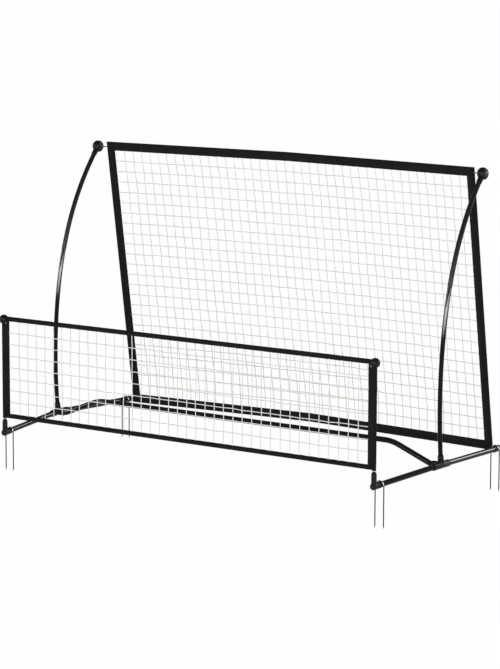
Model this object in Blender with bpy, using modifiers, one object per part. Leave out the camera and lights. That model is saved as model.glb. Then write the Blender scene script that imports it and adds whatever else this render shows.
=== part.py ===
"""Football rebounder: a leaning net on curved poles, with a low net in front.

Metres, +Z up. X runs across the goal, Y away from the player. Sizes are taken from
the front posts' plane (Y) and from the height of the rail ends (Z), and one empty
carries the whole assembly so that its origin is the bottom centre of the part.
"""
import math

import bmesh
import bpy
from mathutils import Matrix, Vector

# Clearances
SEAT_GAP = 0.0003          # between pieces that touch
FIT_GAP = 0.0005           # between a tube's bore and what plugs into it
BOLT_GAP = 0.0004          # round a bolt's shank
TOP_PIVOT_GAP = 0.0006     # between the pole bolts and the tall panel
CUT_PAST = 0.010           # how far a cutter runs out of what it cuts
OFF_FACE = 0.00002         # keeps the faces of two joined rods from coinciding

# Tubes: outer radius and wall
RAIL_R = 0.011
POLE_R = 0.0095
POLE_LOWER_R = 0.009
TALL_TUBE_R = 0.0095
LOW_TUBE_R = 0.007
TUBE_WALL = 0.0012
PLUG_LENGTH = 0.045        # how far a swaged end goes into the next tube
SWAGE = 0.0004             # length of a swaged end's shoulder

# Base
GROUND_Z = -0.163          # peg tips
RAIL_END_X = 0.917         # rear end fittings, half their distance apart
FRONT_INSET = 0.030        # front corner fittings and posts, inside the rear ones
FRONT_X = RAIL_END_X - FRONT_INSET
TEE_SPREAD = 0.0175        # the rails' bend, outside the rear ends
TEE_X = RAIL_END_X + TEE_SPREAD
TEE_Y = 0.405
TEE_Z = 0.019
PIVOT_Y = 0.880            # axis that the tall panel folds about
PIVOT_Z = 0.004
BALL_R = 0.0135            # ball ends of the base fittings
RAIL_SEAT = 0.0068         # rail end, from the ball's centre
SOCKET_WALL = 0.0015       # plastic round a rail at the corner fittings
CORNER_SLEEVE = 0.044      # how far a corner fitting covers the rail
FRONT_SOCKET_R = 0.0105
FRONT_SOCKET_LIP_R = 0.0089
FRONT_SOCKET_TOP = 0.052
FRONT_SOCKET_SHOULDER = 0.004
FRONT_SOCKET_FLOOR = 0.005 # over the rail's top

# Tee fittings
TEE_SLEEVE_R = 0.014
TEE_FRONT_ARM = 0.048
TEE_REAR_ARM = 0.062
TEE_WEB = 0.007            # solid middle between the two rails
TEE_OVERLAP = 0.004        # how far the two arms run past the middle
TEE_SOCKET_TOP = 0.058
TEE_SOCKET_R = 0.0112
TEE_SOCKET_BASE_R = 0.0135
TEE_INNER_ARM = 0.034

# Crossbar
CROSSBAR_RISE = 0.0695     # middle stretch over the tee's axis
CROSSBAR_CLIMB = math.radians(21.7)
CROSSBAR_FOOT_R = 0.050    # bend at the tee
CROSSBAR_BEND_R = 0.180    # bend into the middle stretch

# Tall panel
TALL_LEAN = math.radians(9.1)
TALL_HEIGHT = 1.135        # bottom bar's axis to top bar's axis, along the panel
TALL_INSET = 0.0365        # side bars, inside the rear end fittings
TALL_SIDE_X = RAIL_END_X - TALL_INSET
TALL_TOP_BOW = 0.031       # how far the middle of the top bar lies back
TALL_BOTTOM_BOW = 0.043
TALL_SLEEVE_W = 0.0375     # width of the fabric band
SLEEVE_WALL = 0.0012
SLEEVE_EDGE = 0.0045       # thickness of the band where the net is sewn in
ELBOW_LEG = 0.022

# Curved poles
HUB_DROP = 0.010           # hub's bolt under the top bar's axis, along the panel
HUB_FORWARD = 0.005        # hub's bolt in front of the side bar's axis
HUB_AHEAD = 0.005          # hub's centre in front of its bolt
POLE_VERTEX_Y = 0.3945     # foremost point of the curve
POLE_VERTEX_Z = 0.250
POLE_CURVE = 0.26          # 1/m
POLE_JOINT_Z = 0.700
POLE_STEPS = 6             # straight facets in each pole tube
HUB_R = 0.0245
HUB_CHEEK = 0.0054         # hub's faces over the sides of its collar
HUB_FACE_R = 0.0145        # flat middle of its faces
HUB_COLLAR_WALL = 0.0013
HUB_COLLAR_END = 0.044     # from the hub's centre, down the pole
HUB_SEAT = 0.014           # pole end, from the hub's centre
BOLT_R = 0.0035
BOLT_HEAD_R = 0.0085
BOLT_HEAD_H = 0.0045
PIVOT_BOLT_R = 0.004
PIVOT_HEAD_R = 0.0068
PIVOT_HEAD_EDGE = 0.002
PIVOT_BOSS_R = 0.0095
PIVOT_BOLT_REACH = 0.016   # into the tall panel's lower elbow

# Low front panel
LOW_POST_Y = 0.003
LOW_BOTTOM_Z = 0.0705
LOW_TOP_Z = 0.4715
KNOB_R = 0.0165
KNOB_SEAT = 0.004          # tube ends, from the knob's centre
LOW_SIDE_W = 0.037
LOW_BAR_W = 0.0195
NIPPLE_LENGTH = 0.030
RIVET_R = 0.0018
RIVET_HEAD_R = 0.0036
RIVET_HEAD_H = 0.0014
RIVET_DX = 0.0145          # inboard of the post
RIVET_DZ = 0.0175          # under the knob's centre

# Nets
NET_CORD = 0.003
TALL_NET_COLUMNS = 16
TALL_NET_ROWS = 10
LOW_NET_COLUMNS = 16
LOW_NET_ROWS = 4

# Ground pegs
PEG_R = 0.00225
PEG_HALF = 0.019           # half the spacing of the prongs
PEG_FRONT_Y = 0.036
PEG_REAR_SETBACK = 0.025   # in front of the fold axis
PEG_TIP = 0.010            # tapered length of a tip
PEG_TIP_R = 0.0016

# Facets
HUB_SIDES = 24
HUB_STEPS = 3
FITTING_SIDES = 14
BALL_RINGS = 7
SMALL_SIDES = 10           # sleeve channels, rivets and their holes
ELBOW_SIDES = 8
RAIL_BEVEL_STEPS = 5       # 14 sides on a tube
TUBE_BEVEL_STEPS = 4       # 12 sides
PEG_BEVEL_STEPS = 2        # 8 sides
BEND_STEPS = 3
ARCH_STEPS = 8

UP = Vector((0, 0, 1))
ACROSS = Vector((1, 0, 0))

for old in list(bpy.data.objects):
    bpy.data.objects.remove(old, do_unlink=True)

parts = bpy.data.collections.new("football_rebounder")
cutters = bpy.data.collections.new("cutters")
bpy.context.scene.collection.children.link(parts)
bpy.context.scene.collection.children.link(cutters)


def material(name, colour, roughness, metallic=0.0):
    mat = bpy.data.materials.new(name)
    mat.use_nodes = True
    shader = mat.node_tree.nodes["Principled BSDF"]
    shader.inputs["Base Color"].default_value = (*colour, 1.0)
    shader.inputs["Roughness"].default_value = roughness
    shader.inputs["Metallic"].default_value = metallic
    return mat


BLACK_TUBE = material("black_tube", (0.012, 0.012, 0.013), 0.22)
BLACK_PLASTIC = material("black_plastic", (0.016, 0.016, 0.017), 0.5)
BLACK_FABRIC = material("black_fabric", (0.014, 0.014, 0.015), 0.85)
NET_CORD_WHITE = material("net_cord", (0.80, 0.79, 0.78), 0.8)
STEEL = material("zinc_steel", (0.36, 0.36, 0.37), 0.35, 0.9)


def empty(name, location, parent=None, tilt=0.0):
    """An empty that carries one moving body; tilt leans it about X."""
    obj = bpy.data.objects.new(name, None)
    parts.objects.link(obj)
    obj.parent = parent
    obj.location = location
    obj.rotation_euler = (tilt, 0, 0)
    return obj


def add(name, data, parent, location=(0, 0, 0), turn=None, cutter=False):
    """Links new data as an object; turn is a 3x3 rotation."""
    obj = bpy.data.objects.new(name, data)
    (cutters if cutter else parts).objects.link(obj)
    obj.parent = parent
    obj.location = location
    if turn is not None:
        obj.rotation_mode = "QUATERNION"
        obj.rotation_quaternion = turn.to_quaternion()
    if cutter:
        obj.hide_render = True
        obj.display_type = "WIRE"
    return obj


def basis(x_axis, z_axis):
    """Rotation that takes local X and Z to the given directions."""
    x_axis = Vector(x_axis).normalized()
    z_axis = Vector(z_axis).normalized()
    y_axis = z_axis.cross(x_axis)
    return Matrix((x_axis, y_axis, z_axis)).transposed()


def along(direction):
    """Rotation that takes local Z to a direction."""
    direction = Vector(direction).normalized()
    side = UP if abs(direction.z) < 0.9 else ACROSS
    return basis(side.cross(direction), direction)


def finish(obj, mat, angle=35):
    obj.data.materials.append(mat)
    if obj.type == "MESH":
        obj.data.shade_smooth()
        obj.data.set_sharp_from_angle(angle=math.radians(angle))
    return obj


def rod(name, start, end, radius, parent, end_radius=None, sides=FITTING_SIDES, cutter=False):
    """A round bar between two points, or a cone if end_radius is given."""
    start = Vector(start)
    end = Vector(end)
    mesh = bpy.data.meshes.new(name)
    bm = bmesh.new()
    bmesh.ops.create_cone(bm, cap_ends=True, segments=sides, radius1=radius,
                          radius2=radius if end_radius is None else end_radius,
                          depth=(end - start).length)
    bm.to_mesh(mesh)
    bm.free()
    return add(name, mesh, parent, (start + end) / 2, along(end - start), cutter)


def ball(name, centre, radius, parent, sides=FITTING_SIDES, cutter=False):
    mesh = bpy.data.meshes.new(name)
    bm = bmesh.new()
    bmesh.ops.create_uvsphere(bm, u_segments=sides, v_segments=BALL_RINGS, radius=radius)
    bm.to_mesh(mesh)
    bm.free()
    return add(name, mesh, parent, centre, None, cutter)


def turned(name, profile, parent, location, axis, sides=FITTING_SIDES):
    """A turned piece: profile is (radius, height) from its top end down to its bottom."""
    mesh = bpy.data.meshes.new(name)
    mesh.from_pydata([(r, 0, h) for r, h in profile],
                     [(i, i + 1) for i in range(len(profile) - 1)], [])
    obj = add(name, mesh, parent, location, along(axis))
    screw = obj.modifiers.new("turn", "SCREW")
    screw.steps = sides
    screw.render_steps = sides
    screw.use_merge_vertices = True
    screw.merge_threshold = 0.00001
    return obj


def combine(obj, others, operation):
    for other in others:
        boolean = obj.modifiers.new(other.name, "BOOLEAN")
        boolean.operation = operation
        boolean.object = other
        boolean.solver = "EXACT"
    return obj


def polyline(curve, points, radii=None, cyclic=False):
    spline = curve.splines.new("POLY")
    spline.points.add(len(points) - 1)
    for i, point in enumerate(points):
        spline.points[i].co = (*point, 1)
        if radii:
            spline.points[i].radius = radii[i]
    spline.use_cyclic_u = cyclic
    return spline


def wire(name, points, radius, mat, parent, bevel, radii=None, wall=0.0):
    """A curve with a round section: solid, or a hollow tube if it has a wall."""
    origin = Vector(points[0])
    curve = bpy.data.curves.new(name, "CURVE")
    curve.dimensions = "3D"
    curve.bevel_depth = radius
    curve.bevel_resolution = bevel
    curve.use_fill_caps = wall == 0
    polyline(curve, [Vector(p) - origin for p in points], radii)
    obj = add(name, curve, parent, origin)
    if wall:
        shell = obj.modifiers.new("wall", "SOLIDIFY")
        shell.thickness = wall
        shell.offset = -1
        shell.use_even_offset = True
    curve.materials.append(mat)
    return obj


def tube(name, points, radius, parent, plug=None, bevel=TUBE_BEVEL_STEPS):
    """A hollow tube. plug is the way its swaged far end goes into the next tube's bore."""
    points = [Vector(p) for p in points]
    radii = [1.0] * len(points)
    if plug:
        way = plug.normalized()
        neck = (radius - TUBE_WALL - FIT_GAP) / radius
        points += [points[-1] + way * SWAGE, points[-1] + way * PLUG_LENGTH]
        radii += [neck, neck]
    return wire(name, points, radius, BLACK_TUBE, parent, bevel, radii, TUBE_WALL)


def rounded(points, radii, steps):
    """A path with each inner corner replaced by an arc of its own radius."""
    points = [Vector(p) for p in points]
    path = [points[0]]
    for before, corner, after, radius in zip(points, points[1:], points[2:], radii):
        a = (before - corner).normalized()
        b = (after - corner).normalized()
        half = a.angle(b) / 2
        centre = corner + (a + b).normalized() * radius / math.sin(half)
        first = corner + a * radius / math.tan(half)
        last = corner + b * radius / math.tan(half)
        for i in range(steps + 1):
            way = (first - centre).slerp(last - centre, i / steps)
            path.append(centre + way.normalized() * radius)
    path.append(points[-1])
    return path


def flat_outline(name, loops, half_thickness, parent, location, turn):
    """A plate: the first loop is its outline and the others are its holes."""
    curve = bpy.data.curves.new(name, "CURVE")
    curve.dimensions = "2D"
    curve.fill_mode = "BOTH"
    curve.extrude = half_thickness
    for loop in loops:
        polyline(curve, [(x, y, 0) for x, y in loop], cyclic=True)
    source = bpy.data.objects.new(name, curve)
    cutters.objects.link(source)
    bpy.context.view_layer.update()
    graph = bpy.context.evaluated_depsgraph_get()
    mesh = bpy.data.meshes.new_from_object(source.evaluated_get(graph))
    bpy.data.objects.remove(source, do_unlink=True)
    bm = bmesh.new()
    bm.from_mesh(mesh)
    bmesh.ops.remove_doubles(bm, verts=bm.verts, dist=0.00001)
    bm.to_mesh(mesh)
    bm.free()
    mesh.materials.clear()
    mesh.name = name
    return add(name, mesh, parent, location, turn)


def sleeve(name, bar_radius, width, half_length, parent, centre, inward, direction, mitre=False):
    """A fabric band round a bar: a round channel that runs out into a flat tail.

    inward points from the bar to the net and direction along the bar. With a mitre,
    half_length is measured to the crossing of the bars' axes and the ends are cut at 45 degrees.
    """
    channel = bar_radius + SEAT_GAP
    outer = channel + SLEEVE_WALL
    tail = width - outer
    edge = min(SLEEVE_EDGE / 2, outer * 0.9)
    tangent = math.atan2(edge, tail) + math.acos(outer / math.hypot(tail, edge))
    arc_steps = 9
    outline = [(tail, -edge), (tail, edge)]
    for i in range(arc_steps + 1):
        angle = tangent + (2 * math.pi - 2 * tangent) * i / arc_steps
        outline.append((outer * math.cos(angle), outer * math.sin(angle)))
    hole_steps = SMALL_SIDES
    circumscribed = channel / math.cos(math.pi / hole_steps)
    hole = []
    for i in range(hole_steps):
        angle = 2 * math.pi * (i + 0.5) / hole_steps
        hole.append((circumscribed * math.cos(angle), circumscribed * math.sin(angle)))
    obj = flat_outline(name, [outline, hole], half_length, parent, centre, basis(inward, direction))
    if mitre:
        for vertex in obj.data.vertices:
            end = half_length - vertex.co.x - SEAT_GAP
            vertex.co.z = math.copysign(end, vertex.co.z)
    return finish(obj, BLACK_FABRIC)


def net(name, half_width, low, high, columns, rows, parent, back=None):
    """A net in its panel: a grid of cord lines whose gap faces are removed.

    back gives how far behind the panel's plane it lies at x and a height.
    """
    pitch_x = (2 * half_width - NET_CORD) / columns
    pitch_z = (high - low - NET_CORD) / rows
    lines_x = [-half_width + column * pitch_x + edge
               for column in range(columns + 1) for edge in (0, NET_CORD)]
    lines_z = [row * pitch_z + edge for row in range(rows + 1) for edge in (0, NET_CORD)]
    bm = bmesh.new()
    bmesh.ops.create_grid(bm, x_segments=len(lines_x) - 1, y_segments=len(lines_z) - 1, size=1)
    last_x = len(lines_x) - 1
    last_z = len(lines_z) - 1
    place = {}
    for vertex in bm.verts:
        i = round((vertex.co.x + 1) / 2 * last_x)
        j = round((vertex.co.y + 1) / 2 * last_z)
        place[vertex] = (i, j)
    gaps = [face for face in bm.faces
            if min(place[v][0] for v in face.verts) % 2 and min(place[v][1] for v in face.verts) % 2]
    for vertex, (i, j) in place.items():
        x = lines_x[i]
        z = lines_z[j]
        vertex.co = (x, z, -back(x, low + z) if back else 0)
    bmesh.ops.delete(bm, geom=gaps, context="FACES")
    mesh = bpy.data.meshes.new(name)
    bm.to_mesh(mesh)
    bm.free()
    obj = add(name, mesh, parent, (0, 0, low), basis(ACROSS, (0, -1, 0)))
    cord = obj.modifiers.new("cord", "SOLIDIFY")
    cord.thickness = NET_CORD
    cord.offset = 0
    return finish(obj, NET_CORD_WHITE)


# The assembly's origin is the middle of its depth, on the ground under the peg tips.
depth_front = min(-BALL_R, LOW_POST_Y - KNOB_R)
tall_outer = TALL_TUBE_R + SEAT_GAP + SLEEVE_WALL
depth_rear = PIVOT_Y + TALL_BOTTOM_BOW * math.cos(TALL_LEAN) + tall_outer
assembly = empty("rebounder", (0, -(depth_front + depth_rear) / 2, -GROUND_Z))
tall = empty("tall_panel_pivot", (0, PIVOT_Y, PIVOT_Z), assembly, TALL_LEAN)
low = empty("low_panel_lift", (0, LOW_POST_Y, 0), assembly)

panel_up = Vector((0, -math.sin(TALL_LEAN), math.cos(TALL_LEAN)))
panel_back = Vector((0, math.cos(TALL_LEAN), math.sin(TALL_LEAN)))
hub_bolt = Vector((0, PIVOT_Y, PIVOT_Z)) + panel_up * (TALL_HEIGHT - HUB_DROP) \
    - panel_back * HUB_FORWARD
hub_axis = hub_bolt - Vector((0, HUB_AHEAD, 0))
low_outer = LOW_TUBE_R + SEAT_GAP + SLEEVE_WALL
corner_r = RAIL_R + SEAT_GAP + SOCKET_WALL
hub_collar_r = POLE_R + SEAT_GAP + HUB_COLLAR_WALL
hub_half = hub_collar_r + HUB_CHEEK

# The pole's quartic term is what brings its top to the hub's centre.
hub_rise = hub_axis.z - POLE_VERTEX_Z
pole_quartic = (hub_axis.y - POLE_VERTEX_Y - POLE_CURVE * hub_rise ** 2) / hub_rise ** 4


def pole_point(side, z):
    """The pole's axis at a height: a parabola with a quartic term towards the top."""
    rise = z - POLE_VERTEX_Z
    y = POLE_VERTEX_Y + POLE_CURVE * rise ** 2 + pole_quartic * rise ** 4
    return Vector((side * TEE_X, y, z))


def pole_way(side, z):
    rise = z - POLE_VERTEX_Z
    slope = 2 * POLE_CURVE * rise + 4 * pole_quartic * rise ** 3
    return Vector((0, slope, 1)).normalized()


def rail_frame(side):
    """The ends and the tee's centre on one side of the base."""
    front = Vector((side * FRONT_X, 0, 0))
    centre = Vector((side * TEE_X, TEE_Y, TEE_Z))
    rear = Vector((side * RAIL_END_X, PIVOT_Y, PIVOT_Z))
    return front, centre, rear


def rails(side, label):
    front, centre, rear = rail_frame(side)
    ahead = (front - centre).normalized()
    behind = (rear - centre).normalized()
    near = TEE_WEB + SEAT_GAP
    tube(f"rail_front_{label}", [front - ahead * RAIL_SEAT, centre + ahead * near], RAIL_R,
         assembly, bevel=RAIL_BEVEL_STEPS)
    tube(f"rail_rear_{label}", [centre + behind * near, rear - behind * RAIL_SEAT], RAIL_R,
         assembly, bevel=RAIL_BEVEL_STEPS)


def tee(side, label):
    """Moulded tee: it joins two rails, the crossbar and the foot of a pole."""
    front, centre, rear = rail_frame(side)
    ahead = (front - centre).normalized()
    behind = (rear - centre).normalized()
    inboard = Vector((-side, 0, 0))
    foot = pole_point(side, TEE_Z)
    rise = pole_way(side, TEE_SOCKET_TOP)
    top = foot + rise * (TEE_SOCKET_TOP - TEE_Z)
    name = f"tee_{label}"
    body = rod(name, centre - ahead * TEE_OVERLAP, centre + ahead * TEE_FRONT_ARM,
               TEE_SLEEVE_R, assembly)
    joined = [
        rod(name + "_rear_arm", centre - behind * TEE_OVERLAP, centre + behind * TEE_REAR_ARM,
            TEE_SLEEVE_R + OFF_FACE, assembly, cutter=True),
        rod(name + "_inner_arm", centre, centre + inboard * TEE_INNER_ARM,
            TEE_SLEEVE_R - OFF_FACE, assembly, cutter=True),
        rod(name + "_socket", foot, top, TEE_SOCKET_BASE_R, assembly,
            end_radius=TEE_SOCKET_R, cutter=True),
    ]
    combine(body, joined, "UNION")
    pole_bore = POLE_LOWER_R + SEAT_GAP
    rail_bore = RAIL_R + SEAT_GAP
    holes = [
        rod(name + "_front_bore", centre + ahead * TEE_WEB,
            centre + ahead * (TEE_FRONT_ARM + CUT_PAST), rail_bore, assembly, cutter=True),
        rod(name + "_rear_bore", centre + behind * TEE_WEB,
            centre + behind * (TEE_REAR_ARM + CUT_PAST), rail_bore, assembly, cutter=True),
        rod(name + "_crossbar_bore", centre + inboard * (RAIL_R + TEE_WEB),
            centre + inboard * (TEE_INNER_ARM + CUT_PAST), rail_bore, assembly, cutter=True),
        rod(name + "_pole_bore", pole_foot(side), top + rise * CUT_PAST, pole_bore, assembly,
            cutter=True),
    ]
    combine(body, holes, "DIFFERENCE")
    finish(body, BLACK_PLASTIC)


def pole_foot(side):
    """The floor of the tee's upright socket, clear over the rails' bore."""
    foot = pole_point(side, TEE_Z)
    rise = pole_way(side, TEE_SOCKET_TOP)
    return foot + rise * (RAIL_R + SOCKET_WALL)


def crossbar(side, label):
    _, centre, _ = rail_frame(side)
    level = TEE_Z + CROSSBAR_RISE
    start = side * (TEE_X - RAIL_R - TEE_WEB - SEAT_GAP)
    foot = TEE_X - TEE_INNER_ARM - SEAT_GAP - CROSSBAR_FOOT_R * math.tan(CROSSBAR_CLIMB / 2)
    bend = foot - CROSSBAR_RISE / math.tan(CROSSBAR_CLIMB)
    corners = [(start, TEE_Y, TEE_Z), (side * foot, TEE_Y, TEE_Z), (side * bend, TEE_Y, level)]
    middle = (0.0 if side < 0 else SWAGE, TEE_Y, level)
    path = rounded(corners + [middle], (CROSSBAR_FOOT_R, CROSSBAR_BEND_R), BEND_STEPS)
    tube(f"crossbar_{label}", path, RAIL_R, assembly, plug=ACROSS if side < 0 else None)


def pole(side, label):
    """Lower and upper tube of one pole; the lower one plugs into the upper one."""
    rise = pole_way(side, TEE_SOCKET_TOP)
    foot = pole_foot(side) + rise * SEAT_GAP
    entry = pole_point(side, TEE_SOCKET_TOP)
    entry.y = (foot + rise * (entry.z - foot.z)).y
    heights = [TEE_SOCKET_TOP + (POLE_JOINT_Z - TEE_SOCKET_TOP) * i / POLE_STEPS
               for i in range(1, POLE_STEPS + 1)]
    lower = [foot, entry] + [pole_point(side, z) for z in heights]
    neck = (POLE_R - TUBE_WALL - FIT_GAP) / POLE_LOWER_R
    plug = [pole_point(side, POLE_JOINT_Z + step) for step in (SWAGE, PLUG_LENGTH)]
    wire(f"pole_lower_{label}", lower + plug, POLE_LOWER_R, BLACK_TUBE, assembly, TUBE_BEVEL_STEPS,
         [1.0] * len(lower) + [neck] * len(plug), TUBE_WALL)
    start = POLE_JOINT_Z + SWAGE + SEAT_GAP
    way = pole_way(side, hub_axis.z)
    hub = Vector((side * TEE_X, hub_axis.y, hub_axis.z))
    collar = hub - way * HUB_COLLAR_END
    heights = [start + (collar.z - start) * i / POLE_STEPS for i in range(POLE_STEPS)]
    upper = [pole_point(side, z) for z in heights] + [collar, hub - way * (HUB_SEAT + SEAT_GAP)]
    tube(f"pole_upper_{label}", upper, POLE_R, assembly)


def hub(side, label):
    """Round top fitting of a pole and the bolt that holds the tall panel to it."""
    centre = Vector((side * TEE_X, hub_axis.y, hub_axis.z))
    outward = Vector((side, 0, 0))
    way = pole_way(side, hub_axis.z)
    turns = [math.pi / 2 * i / HUB_STEPS for i in range(HUB_STEPS)]
    arc = [(HUB_FACE_R + (HUB_R - HUB_FACE_R) * math.sin(t), hub_half * math.cos(t))
           for t in turns]
    profile = [(0, hub_half)] + arc + [(HUB_R, 0)] \
        + [(r, -h) for r, h in reversed(arc)] + [(0, -hub_half)]
    name = f"pole_hub_{label}"
    body = turned(name, profile, assembly, centre, outward, HUB_SIDES)
    combine(body, [rod(name + "_collar", centre - way * POLE_R,
                       centre - way * HUB_COLLAR_END, hub_collar_r, assembly, cutter=True)],
            "UNION")
    shank_bore = BOLT_R + BOLT_GAP
    pin = Vector((centre.x, hub_bolt.y, hub_bolt.z))
    head = hub_half - BOLT_HEAD_H
    combine(body, [
        rod(name + "_pole_bore", centre - way * HUB_SEAT, centre - way * (HUB_COLLAR_END + CUT_PAST),
            POLE_R + SEAT_GAP, assembly, cutter=True),
        rod(name + "_bolt_bore", pin - outward * (hub_half + CUT_PAST),
            pin + outward * (hub_half + CUT_PAST), shank_bore, assembly, cutter=True),
        rod(name + "_head_bore", pin + outward * (head - SEAT_GAP),
            pin + outward * (hub_half + CUT_PAST), BOLT_HEAD_R + BOLT_GAP, assembly, cutter=True),
    ], "DIFFERENCE")
    finish(body, BLACK_PLASTIC)
    # The bolt's end faces the panel's edge and leaves the pivot open.
    reach = TEE_X - (TALL_SIDE_X + tall_outer + TOP_PIVOT_GAP)
    edge = BOLT_HEAD_H / 3
    bolt = turned(f"pole_bolt_{label}", [
        (0, head + BOLT_HEAD_H), (BOLT_HEAD_R - edge, head + BOLT_HEAD_H),
        (BOLT_HEAD_R, head + BOLT_HEAD_H - edge), (BOLT_HEAD_R, head), (BOLT_R, head),
        (BOLT_R, -reach), (0, -reach)], assembly, pin, outward)
    finish(bolt, STEEL)


def front_corner(side, label):
    """Ball-ended corner fitting with the upright socket of the low panel's post."""
    front, centre, _ = rail_frame(side)
    way = (centre - front).normalized()
    post = Vector((side * FRONT_X, LOW_POST_Y, 0))
    name = f"front_corner_{label}"
    body = ball(name, front, BALL_R, assembly)
    collar_top = post + UP * (FRONT_SOCKET_TOP - FRONT_SOCKET_SHOULDER)
    combine(body, [
        rod(name + "_sleeve", front, front + way * CORNER_SLEEVE, corner_r, assembly, cutter=True),
        rod(name + "_socket", post, collar_top, FRONT_SOCKET_R, assembly, cutter=True),
        rod(name + "_shoulder", collar_top - UP * FIT_GAP, post + UP * FRONT_SOCKET_TOP,
            FRONT_SOCKET_R - OFF_FACE, assembly, end_radius=FRONT_SOCKET_LIP_R, cutter=True),
    ], "UNION")
    inset = RAIL_SEAT - SEAT_GAP
    combine(body, [
        rod(name + "_rail_bore", front + way * inset, front + way * (CORNER_SLEEVE + CUT_PAST),
            RAIL_R + SEAT_GAP, assembly, cutter=True),
        rod(name + "_post_bore", post + UP * (RAIL_R + FRONT_SOCKET_FLOOR),
            post + UP * (FRONT_SOCKET_TOP + CUT_PAST), LOW_TUBE_R + SEAT_GAP, assembly, cutter=True),
    ], "DIFFERENCE")
    finish(body, BLACK_PLASTIC)


def rail_end(side, label):
    """Rear end fitting of a rail, and the bolt that the tall panel turns on."""
    _, centre, rear = rail_frame(side)
    way = (centre - rear).normalized()
    outward = Vector((side, 0, 0))
    name = f"rail_end_{label}"
    body = ball(name, rear, BALL_R, assembly)
    boss_end = TALL_SIDE_X + tall_outer + SEAT_GAP
    combine(body, [
        rod(name + "_sleeve", rear, rear + way * CORNER_SLEEVE, corner_r, assembly, cutter=True),
        rod(name + "_boss", rear, (side * boss_end, PIVOT_Y, PIVOT_Z), PIVOT_BOSS_R, assembly,
            cutter=True),
    ], "UNION")
    inset = RAIL_SEAT - SEAT_GAP
    combine(body, [
        rod(name + "_rail_bore", rear + way * inset, rear + way * (CORNER_SLEEVE + CUT_PAST),
            RAIL_R + SEAT_GAP, assembly, cutter=True),
        rod(name + "_bolt_bore", rear - outward * BALL_R * 3, rear + outward * BALL_R * 3,
            PIVOT_BOLT_R + BOLT_GAP, assembly, cutter=True),
    ], "DIFFERENCE")
    finish(body, BLACK_PLASTIC)
    head = BALL_R + SEAT_GAP
    reach = RAIL_END_X - (TALL_SIDE_X + TALL_TUBE_R - PIVOT_BOLT_REACH)
    top = head + BOLT_HEAD_H
    bolt = turned(f"fold_bolt_{label}", [
        (0, top), (PIVOT_HEAD_R - PIVOT_HEAD_EDGE, top), (PIVOT_HEAD_R, top - PIVOT_HEAD_EDGE),
        (PIVOT_HEAD_R, head), (PIVOT_BOLT_R, head), (PIVOT_BOLT_R, -reach), (0, -reach)],
        assembly, rear, outward)
    finish(bolt, STEEL)


def bowed(x, height):
    """How far back the tall panel lies: each half of it is straight at every height."""
    middle = TALL_BOTTOM_BOW + (TALL_TOP_BOW - TALL_BOTTOM_BOW) * height / TALL_HEIGHT
    return middle * (1 - abs(x) / TALL_SIDE_X)


def tall_bars(side, label):
    """Half of the top and bottom bar, one side bar and its two elbows."""
    corner_low = Vector((side * TALL_SIDE_X, 0, 0))
    corner_high = Vector((side * TALL_SIDE_X, 0, TALL_HEIGHT))
    leg = ELBOW_LEG + SEAT_GAP
    middle = 0.0 if side < 0 else SWAGE + SEAT_GAP
    inboard = {}
    for place, corner in (("top", corner_high), ("bottom", corner_low)):
        bow = bowed(0, corner.z)
        inboard[place] = Vector((-side * TALL_SIDE_X, bow, 0)).normalized()
        plug = Vector((TALL_SIDE_X, -bow, 0)) if side < 0 else None
        tube(f"tall_{place}_bar_{label}",
             [corner + inboard[place] * leg, (middle, bowed(middle, corner.z), corner.z)],
             TALL_TUBE_R, tall, plug)
    tube(f"tall_side_bar_{label}", [corner_low + UP * leg, corner_high - UP * leg],
         TALL_TUBE_R, tall)
    plug_r = TALL_TUBE_R - TUBE_WALL - FIT_GAP
    outward = Vector((side, 0, 0))
    for place, corner, turn in (("top", corner_high, -UP), ("bottom", corner_low, UP)):
        name = f"tall_{place}_elbow_{label}"
        body = ball(name, corner, TALL_TUBE_R, tall, ELBOW_SIDES)
        joined = []
        for leg_name, way in (("bar", inboard[place]), ("side", turn)):
            joined.append(rod(f"{name}_{leg_name}_leg", corner, corner + way * ELBOW_LEG,
                              TALL_TUBE_R - OFF_FACE, tall, sides=ELBOW_SIDES, cutter=True))
            joined.append(rod(f"{name}_{leg_name}_plug", corner + way * ELBOW_LEG / 2,
                              corner + way * (ELBOW_LEG + PLUG_LENGTH), plug_r, tall,
                              sides=ELBOW_SIDES, cutter=True))
        combine(body, joined, "UNION")
        if place == "bottom":
            deep = PIVOT_BOLT_REACH + SEAT_GAP
            start = corner + outward * (TALL_TUBE_R - deep)
            bore = PIVOT_BOLT_R + BOLT_GAP
        else:
            deep = TALL_TUBE_R
            start = corner - Vector((0, HUB_FORWARD, HUB_DROP))
            bore = BOLT_R + BOLT_GAP
        combine(body, [rod(name + "_bolt_hole", start, start + outward * (deep + CUT_PAST), bore,
                           tall, sides=ELBOW_SIDES, cutter=True)], "DIFFERENCE")
        finish(body, BLACK_PLASTIC)


def crease(band, height):
    """Cuts a band at its middle and bends it back along the bar inside it."""
    bm = bmesh.new()
    bm.from_mesh(band.data)
    everything = bm.verts[:] + bm.edges[:] + bm.faces[:]
    bmesh.ops.bisect_plane(bm, geom=everything, plane_co=(0, 0, 0), plane_no=(0, 0, 1))
    back = band.rotation_quaternion.to_matrix().transposed() @ Vector((0, 1, 0))
    for vertex in bm.verts:
        vertex.co += back * bowed(vertex.co.z, height)
    bm.to_mesh(band.data)
    bm.free()


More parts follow.
